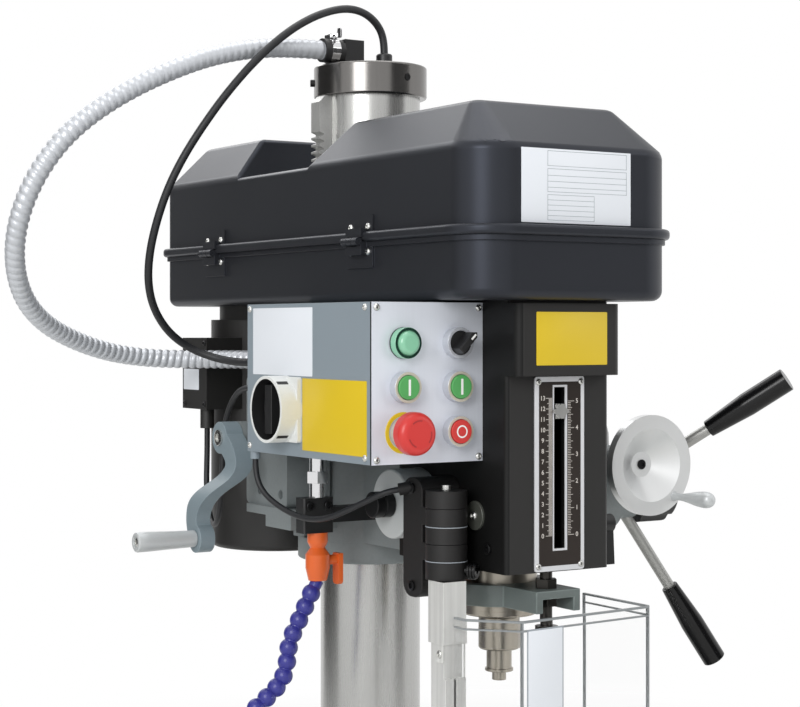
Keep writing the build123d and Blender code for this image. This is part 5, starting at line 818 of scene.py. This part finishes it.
field = bmesh.new()
ring_field(field, SCALE_FIELD, SCALE_SLOT, FIELD_BACK, FIELD_FRONT)
piece("scale_field", field, "head", "scale_dark")
ticks = bmesh.new()
for step in range(10 * CM_RANGE + 1):
    tick(ticks, -tick_reach(step, CM_TICKS), -TICK_START, SCALE_ZERO + step)
for step in range(16 * INCH_RANGE + 1):
    tick(ticks, TICK_START, tick_reach(step, INCH_TICKS), SCALE_ZERO + step * INCH / 16)
piece("scale_ticks", ticks, "head", "mark_silver")
numbers("scale_numbers_cm", CM_RANGE, 10, CM_ACROSS)
numbers("scale_numbers_inch", INCH_RANGE, INCH, INCH_ACROSS)


# Fasteners and trim

LEAF_FACE = -121
LID_LEAF_Z, TRAY_LEAF_Z = 981.5, 957
HINGE_SCREWS = [hinge + side for hinge in (-52, 271) for side in (-16.7, 16.7)]
PANEL_FRONT = corners("front_panel")[0].y
COVER_SIDE = corners("front_cover")[0].x
WASHER_Y, WASHER_Z = -168, 703
WASHER_R, WASHER_BORE, WASHER_T = 14.0, 3.0, 2.5
SLIDE_STOP_LOW, SLIDE_STOP_HIGH = (-107.9, -182, 568), (-106.3, -171, 588)
# Name, body, finish, form, way out, radius, height and places of the heads
SCREWS = (
    ("scale_screws", "head", "screw_bright", dome_screw, FRONT, 3.2, 1.8,
     [(x, SCALE_FRONT, z) for x in (-25, 25) for z in (657, 831)]),
    ("lid_hinge_screws", "lid", "screw_bright", dome_screw, LEFT, 3.8, 2.6,
     [(LEAF_FACE, y, LID_LEAF_Z) for y in HINGE_SCREWS]),
    ("tray_hinge_screws", "head", "screw_bright", dome_screw, LEFT, 3.8, 2.6,
     [(LEAF_FACE, y, TRAY_LEAF_Z) for y in HINGE_SCREWS]),
    ("box_side_screws", "head", "screw_bright", dome_screw, LEFT, 3.4, 2.4,
     [(BOX_SIDE, y, z) for y in (-168, 61) for z in (762, 901)]),
    ("panel_screws", "head", "screw_bright", dome_screw, FRONT, 3.5, 2.6,
     [(x, PANEL_FRONT, z) for x in (-178.5, -65.5) for z in (760.5, 901)]),
    ("terminal_box_screws", "head", "screw_black", dome_screw, LEFT, 3.0, 2.0,
     [(TERMINAL_SIDE, y, z) for y in (285, 337) for z in (795, 865)]),
    ("crank_hub_screw", "crank", "screw_bright", cap_screw, LEFT, 8.5, 2.5, [(-175, 150, 765)]),
    ("cover_side_screw", "head", "screw_black", cap_screw, LEFT, 5.0, 3.0, [(COVER_SIDE, -189, 673)]),
    ("cover_washer_screw", "head", "screw_bright", dome_screw, LEFT, 4.2, 3.2,
     [(COVER_SIDE - WASHER_T, WASHER_Y, WASHER_Z)]),
    ("guard_plate_screws", "head", "screw_black", cap_screw, LEFT, 5.0, 2.5,
     [(-104, -123, z) for z in (634, 728)]),
    ("coolant_block_screws", "head", "screw_black", cap_screw, FRONT, 4.8, 3.0,
     [(x, 14.5, 701) for x in (-140, -119)]),
    ("slide_stop_screw", "guard", "screw_bright", dome_screw, LEFT, 4.0, 2.2,
     [(SLIDE_STOP_LOW[0], -176.5, 576)]),
    ("wheel_hub_screw", "fine_feed_wheel", "screw_black", cap_screw, FRONT, 5.0, 1.5, [(150, -158, 743)]),
)
for name, body, finish_name, kind, way, radius, height, places in SCREWS:
    screws(name, body, finish_name, kind, [(place, way, radius, height) for place in places])
turned_piece("cover_side_washer", "head", "washer_grey", washer(WASHER_R, WASHER_BORE, WASHER_T),
             (COVER_SIDE, WASHER_Y, WASHER_Z), LEFT, 36)
plate("slide_stop", "guard", "profile_aluminium", SLIDE_STOP_LOW, SLIDE_STOP_HIGH, "x", 1.5, 0.3)

# Column cap: its side screws, each with an angle, a height and a reach, and the clamp of the conduit's elbow
COLUMN_Y = middle_of("column").y
CAP_R = corners("column_cap")[1].x
CAP_SCREWS, CAP_SCREW_R = ((-81, 1154, 0.5), (150, 1153, 4.0), (30, 1154, 0.5)), 4.0
CLAMP_X, CLAMP_Z, CLAMP_HALF = -50, 1185, 5
CLAMP_BAND = [(13.0, -CLAMP_HALF), (13.9, -CLAMP_HALF), (13.9, CLAMP_HALF), (13.0, CLAMP_HALF)]
CLAMP_BOLT = [(0, 0), (3.2, 0), (3.2, 7), (2.6, 7.6), (0, 7.6)]
LUG_FRONT, LUG_BACK = COLUMN_Y - 7, COLUMN_Y + 7
LUG_FOOT, LUG_TOP = 1198, 1203
WING_LOW, WING_HIGH = (CLAMP_X - 1, 106, 1197), (CLAMP_X + 1, 114, 1208)


def on_cap(angle, height):
    """A point on the column cap's side and the way out from it."""
    way = Vector((cos(radians(angle)), sin(radians(angle)), 0))
    return (CAP_R * way.x, COLUMN_Y + CAP_R * way.y, height), way


screws("cap_screws", "stand", "screw_black", cap_screw,
       [(*on_cap(angle, height), CAP_SCREW_R, reach) for angle, height, reach in CAP_SCREWS])
clamp = bmesh.new()
turned(clamp, CLAMP_BAND, (CLAMP_X, COLUMN_Y, CLAMP_Z), LEFT, 40)
slab(clamp, (CLAMP_X - CLAMP_HALF, LUG_FRONT, LUG_FOOT), (CLAMP_X + CLAMP_HALF, LUG_BACK, LUG_TOP), "z",
     1.5, 0.6)
turned(clamp, CLAMP_BOLT, (CLAMP_X, LUG_FRONT, (LUG_FOOT + LUG_TOP) / 2), FRONT, 20)
slab(clamp, WING_LOW, WING_HIGH, "x", 2.0, 0.4)
piece("conduit_clamp", clamp, "stand", "chrome")

# Guard: the lines round its barrel, its clamp knob, and the bands and the plate on the clear sheet
GUARD_PIVOT = (-90, -161)
BARREL_LINES, BARREL_LINE = (661.3, 693.9), band(19.5, 20.2, -0.4, 0.4)
KNOB_Z, KNOB_WAY = 652.5, (0.6, -0.8, 0)
KNOB_OUTLINE = [
    (0, 19), (4.5, 19), (4.5, 22), (7.2, 22), (8, 22.8), (8, 24.6), (7.2, 25), (8, 25.4), (8, 27.4),
    (7.2, 27.8), (8, 28.2), (8, 30), (7.2, 31), (3, 31), (3, 29.5), (0, 29.5),
]
SHEET_CORNER = (-58, -240)
SHEET_TURN = atan2(14, 163)
SHEET_PLATE_RIM = (4, -1.9, 504), (49, -1.6, 603)
SHEET_PLATE = (5.5, -2.1, 505.5), (47.5, -1.8, 601.5)
BAND_SKIN = 0.25
SHEET_BANDS = (
    [((0, 0, 609.4), DOWN)],
    [((0, 0, 601.2), DOWN), ((0, 0, 602.4), UP)],
    [((-58.4, 0, 0), LEFT), ((-57.6, 0, 0), RIGHT)],
    [((102.0, 0, 0), LEFT), ((0, -222.0, 0), BACK)],
    [((0, -122.6, 0), FRONT), ((100, 0, 0), LEFT)],
)
barrel_lines = bmesh.new()
for height in BARREL_LINES:
    turned(barrel_lines, BARREL_LINE, (*GUARD_PIVOT, height), UP, 48)
piece("barrel_lines", barrel_lines, "head", "line_grey")
turned_piece("guard_clamp_knob", "guard", "gloss_black", KNOB_OUTLINE, (*GUARD_PIVOT, KNOB_Z), KNOB_WAY, 32)


def sheet_band(bm, keeps):
    """A copy of the clear sheet's form, kept behind each (point, way out) plane and a little thicker."""
    part = bmesh.new()
    part.from_mesh(NODES["guard_shield"].data)
    bmesh.ops.remove_doubles(part, verts=part.verts, dist=WELD)
    for point, way in keeps:
        geometry = part.verts[:] + part.edges[:] + part.faces[:]
        bmesh.ops.bisect_plane(part, geom=geometry, plane_co=mm(*point), plane_no=way, clear_outer=True)
        bmesh.ops.triangle_fill(part, edges=[e for e in part.edges if e.is_boundary], use_beauty=True)
    bmesh.ops.recalc_face_normals(part, faces=part.faces)
    part.normal_update()
    for vert, way in [(v, v.normal.copy()) for v in part.verts]:
        vert.co += way * BAND_SKIN * MM
    joined(bm, part)


bands = bmesh.new()
for keeps in SHEET_BANDS:
    sheet_band(bands, keeps)
piece("shield_edge_bands", bands, "shield", "sheet_edge")
on_sheet = Matrix.Translation(mm(*SHEET_CORNER, 0)) @ Matrix.Rotation(SHEET_TURN, 4, "Z")
plate("shield_plate_rim", "shield", "line_grey", *SHEET_PLATE_RIM, "y", 1.5, 0.05, on_sheet)
plate("shield_plate", "shield", "label_white", *SHEET_PLATE, "y", 1.0, 0.05, on_sheet)


# Crank handle: a tapered grip with a screw in its end, in the place of the plain one

HANDLE_X = corners("crank_handle")[1].x
HANDLE_Y, HANDLE_Z = middle_of("crank_handle").yz
HANDLE_FLOOR = 65.6
GRIP_OUTLINE = [
    (0, 59.9), (5.05, 59.9), (5.05, 0), (8.2, 0), (8.8, 0.7), (9.1, 14), (9.7, 34), (10.4, 54),
    (10.5, 65.8), (10.1, 67), (9.0, 67.7), (6.4, 67.7), (6.2, 67.3), (6.2, HANDLE_FLOOR),
    (0, HANDLE_FLOOR),
]
grip = turned_piece("crank_handle_form", body_of("crank_handle"), "handle_grey", GRIP_OUTLINE,
                    (HANDLE_X, HANDLE_Y, HANDLE_Z), LEFT, 48)
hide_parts("crank_handle")
screws("handle_end_screw", "handle", "screw_bright", dome_screw,
       [((HANDLE_X - HANDLE_FLOOR, HANDLE_Y, HANDLE_Z), LEFT, 5.4, 1.7)])


# Button marks and switch parts

MARK_PROUD, MARK_SINK = 0.15, 0.1
BAR_HALF, BAR_REACH = 1.2, 7.5
DISC_OUTLINE = [(15.5, -0.2), (15.5, 0.8), (18.7, 0.8), (19.2, 0.4), (19.2, -0.2), (15.5, -0.2)]
ARC_OUTLINE = [(11.6, -0.3), (11.6, 0.12), (13.0, 0.12), (13.0, -0.3)]
ARC_STARTS, ARC_SWEEP = (200, 320, 80), 50
FOOT_RING_OUTLINE = [(13.0, -0.2), (13.0, 2.2), (14.3, 2.2), (14.7, 1.8), (14.7, -0.2), (13.0, -0.2)]
SELECTOR_X, SELECTOR_Z, SELECTOR_ANGLE = -92, 868, 45
LINE_LOW, LINE_HIGH = (4.5, -1.0, -MARK_PROUD), (11.2, 1.0, MARK_SINK)
SWITCH_SLOTS = (37, 143)
SLOT_LOW, SLOT_HIGH = (-205, -2.2, 32.5), (-193, 2.2, 33.15)


def front_of(node):
    """The middle of a node in X and Z, at its foremost Y."""
    x, _, z = middle_of(node)
    return x, corners(node)[0].y, z


for node_name in ("reverse_button", "forward_button"):
    x, y, z = front_of(node_name)
    plate(node_name + "_bar", body_of(node_name), "mark_white",
          (x - BAR_HALF, y - MARK_PROUD, z - BAR_REACH), (x + BAR_HALF, y + MARK_SINK, z + BAR_REACH),
          "y", 0.5, 0.0)
turned_piece("stop_button_circle", "stop", "mark_white", band(4.6, 6.0, -MARK_SINK, MARK_PROUD),
             front_of("stop_button"), FRONT, 40)
x, y, z = front_of("emergency_button")
turned_piece("emergency_disc", "head", "signal_yellow", DISC_OUTLINE, (x, PANEL_FRONT, z), FRONT, 48)
arcs = bmesh.new()
for start in ARC_STARTS:
    turned(arcs, ARC_OUTLINE, (x, y, z), FRONT, 12, radians(ARC_SWEEP), radians(start))
piece("emergency_arcs", arcs, "emergency", "mark_red")
x, y, z = front_of("pilot_lamp")
turned_piece("lamp_foot_ring", "head", "lamp_dark", FOOT_RING_OUTLINE, (x, PANEL_FRONT, z), FRONT, 48)
on_selector = Matrix.Translation(mm(SELECTOR_X, corners("selector_knob")[0].y, SELECTOR_Z))
on_selector @= Matrix.Rotation(-radians(SELECTOR_ANGLE), 4, "Y") @ Matrix.Rotation(pi / 2, 4, "X")
plate("selector_line", "selector", "mark_white", LINE_LOW, LINE_HIGH, "z", 0.4, 0.0, on_selector)
slots = bmesh.new()
for angle in SWITCH_SLOTS:
    slot = bmesh.new()
    slab(slot, SLOT_LOW, SLOT_HIGH, "z", 0.5)
    bmesh.ops.transform(slot, verts=slot.verts, matrix=Matrix.Translation(mm(0, SWITCH_Y, SWITCH_Z)) @
                        Matrix.Rotation(radians(angle), 4, "X"))
    joined(slots, slot)
piece("switch_slots", slots, "head", "moulded_black")


# Floor, light and camera

FLOOR_TONE, FLOOR_ROUGHNESS = "e6e6e4", 0.9
FLOOR_HALF = 30.0
FLOOR_NEAR, FLOOR_FAR = 1.4, 2.6
AMBIENT = 0.55
FLAG_TONE = "1c1c1e"
PHOTO_WIDTH, FOCAL_PIXELS, SHIFT_PIXELS = 800, 1844, -23.5
SENSOR_WIDTH = 36.0
CAMERA_PLACE, CAMERA_WAY = (-1.055, -1.622, 0.880), (0.53, 0.848, 0.0)


def seen_rays(tree):
    """A mask of the rays that see the backdrop: camera, glossy and transmission."""
    rays = add(tree, "ShaderNodeLightPath").outputs
    some = add(tree, "ShaderNodeMath", {0: rays["Is Camera Ray"], 1: rays["Is Glossy Ray"]},
               operation="MAXIMUM")
    return add(tree, "ShaderNodeMath", {0: some.outputs[0], 1: rays["Is Transmission Ray"]},
               operation="MAXIMUM").outputs[0]


def studio_world():
    """A backdrop that is seen as white and lights the object less than that."""
    world = bpy.data.worlds.new("studio_white")
    world.use_nodes = True
    tree = world.node_tree
    strength = sum_of(tree, seen_rays(tree), 1.0 - AMBIENT, AMBIENT)
    tree.links.new(strength, tree.nodes["Background"].inputs["Strength"])
    tree.nodes["Background"].inputs["Color"].default_value = (1.0, 1.0, 1.0, 1.0)
    scene.world = world


def studio_floor():
    """A pale floor that keeps the shadow near the machine and fades into the white further off."""
    bm = bmesh.new()
    bmesh.ops.create_grid(bm, x_segments=2, y_segments=2, size=FLOOR_HALF)
    mesh = bpy.data.meshes.new("floor")
    bm.to_mesh(mesh)
    bm.free()
    floor = bpy.data.objects.new("floor", mesh)
    scene.collection.objects.link(floor)
    material = bpy.data.materials.new("floor_pale")
    material.use_nodes = True
    tree = material.node_tree
    matt = tree.nodes["Principled BSDF"]
    matt.inputs["Base Color"].default_value = linear(FLOOR_TONE)
    matt.inputs["Roughness"].default_value = FLOOR_ROUGHNESS
    place = add(tree, "ShaderNodeTexCoord").outputs["Object"]
    reach = add(tree, "ShaderNodeVectorMath", {0: place}, operation="LENGTH").outputs["Value"]
    far = add(tree, "ShaderNodeMapRange", {"Value": reach, "From Min": FLOOR_NEAR, "From Max": FLOOR_FAR},
              interpolation_type="SMOOTHSTEP").outputs[0]
    white = add(tree, "ShaderNodeEmission")
    mask = add(tree, "ShaderNodeMath", {0: far, 1: seen_rays(tree)}, operation="MULTIPLY").outputs[0]
    mixed = add(tree, "ShaderNodeMixShader", {0: mask, 1: matt.outputs[0], 2: white.outputs[0]})
    tree.links.new(mixed.outputs[0], tree.nodes["Material Output"].inputs["Surface"])
    mesh.materials.append(material)


def set_up(made, place, way):
    """Puts an object in the scene at a place, looking along way."""
    made.location = place
    made.rotation_euler = way.to_track_quat("-Z", "Y").to_euler()
    scene.collection.objects.link(made)


def lamp(name, place, target, size, power):
    """A rectangular lamp that looks at target."""
    data = bpy.data.lights.new(name, "AREA")
    data.shape = "RECTANGLE"
    data.size, data.size_y = size
    data.energy = power
    set_up(bpy.data.objects.new(name, data), place, Vector(target) - Vector(place))


def flag(name, place, target, size):
    """A dark card that only shows in reflections, to give bright metal and black paint some depth."""
    bm = bmesh.new()
    bmesh.ops.create_grid(bm, x_segments=1, y_segments=1, size=0.5)
    mesh = bpy.data.meshes.new(name)
    bm.to_mesh(mesh)
    bm.free()
    made = bpy.data.objects.new(name, mesh)
    set_up(made, place, Vector(target) - Vector(place))
    made.scale = (*size, 1.0)
    material = bpy.data.materials.new(name)
    material.use_nodes = True
    material.node_tree.nodes["Principled BSDF"].inputs["Base Color"].default_value = linear(FLAG_TONE)
    mesh.materials.append(material)
    made.visible_camera = False
    made.visible_diffuse = False
    made.visible_shadow = False
    made.visible_transmission = False


def photo_camera():
    """The photo's own view: its focal length and shift are in pixels of its width."""
    data = bpy.data.cameras.new("photo_view")
    data.sensor_width = SENSOR_WIDTH
    data.lens = SENSOR_WIDTH * FOCAL_PIXELS / PHOTO_WIDTH
    data.shift_y = SHIFT_PIXELS / PHOTO_WIDTH
    made = bpy.data.objects.new("photo_view", data)
    set_up(made, CAMERA_PLACE, Vector(CAMERA_WAY))
    scene.camera = made


studio_world()
studio_floor()
lamp("key_left", (-2.5, -1.8, 1.9), (0, 0, 0.9), (1.4, 1.6), 51)
lamp("fill_right", (2.2, -2.4, 1.6), (0, 0, 0.8), (1.4, 2.0), 22)
lamp("top", (0.2, 0.3, 3.2), (0, 0, 0.9), (2.0, 2.0), 26)
lamp("back_high", (-0.1, 2.7, 2.7), (0, 0, 1.0), (2.4, 1.0), 18)
flag("flag_back_left", (-1.7, 1.9, 1.0), (0, 0, 0.95), (2.6, 2.6))
flag("flag_front_right", (1.5, -2.3, 0.9), (0, -0.1, 0.9), (2.2, 2.6))
photo_camera()
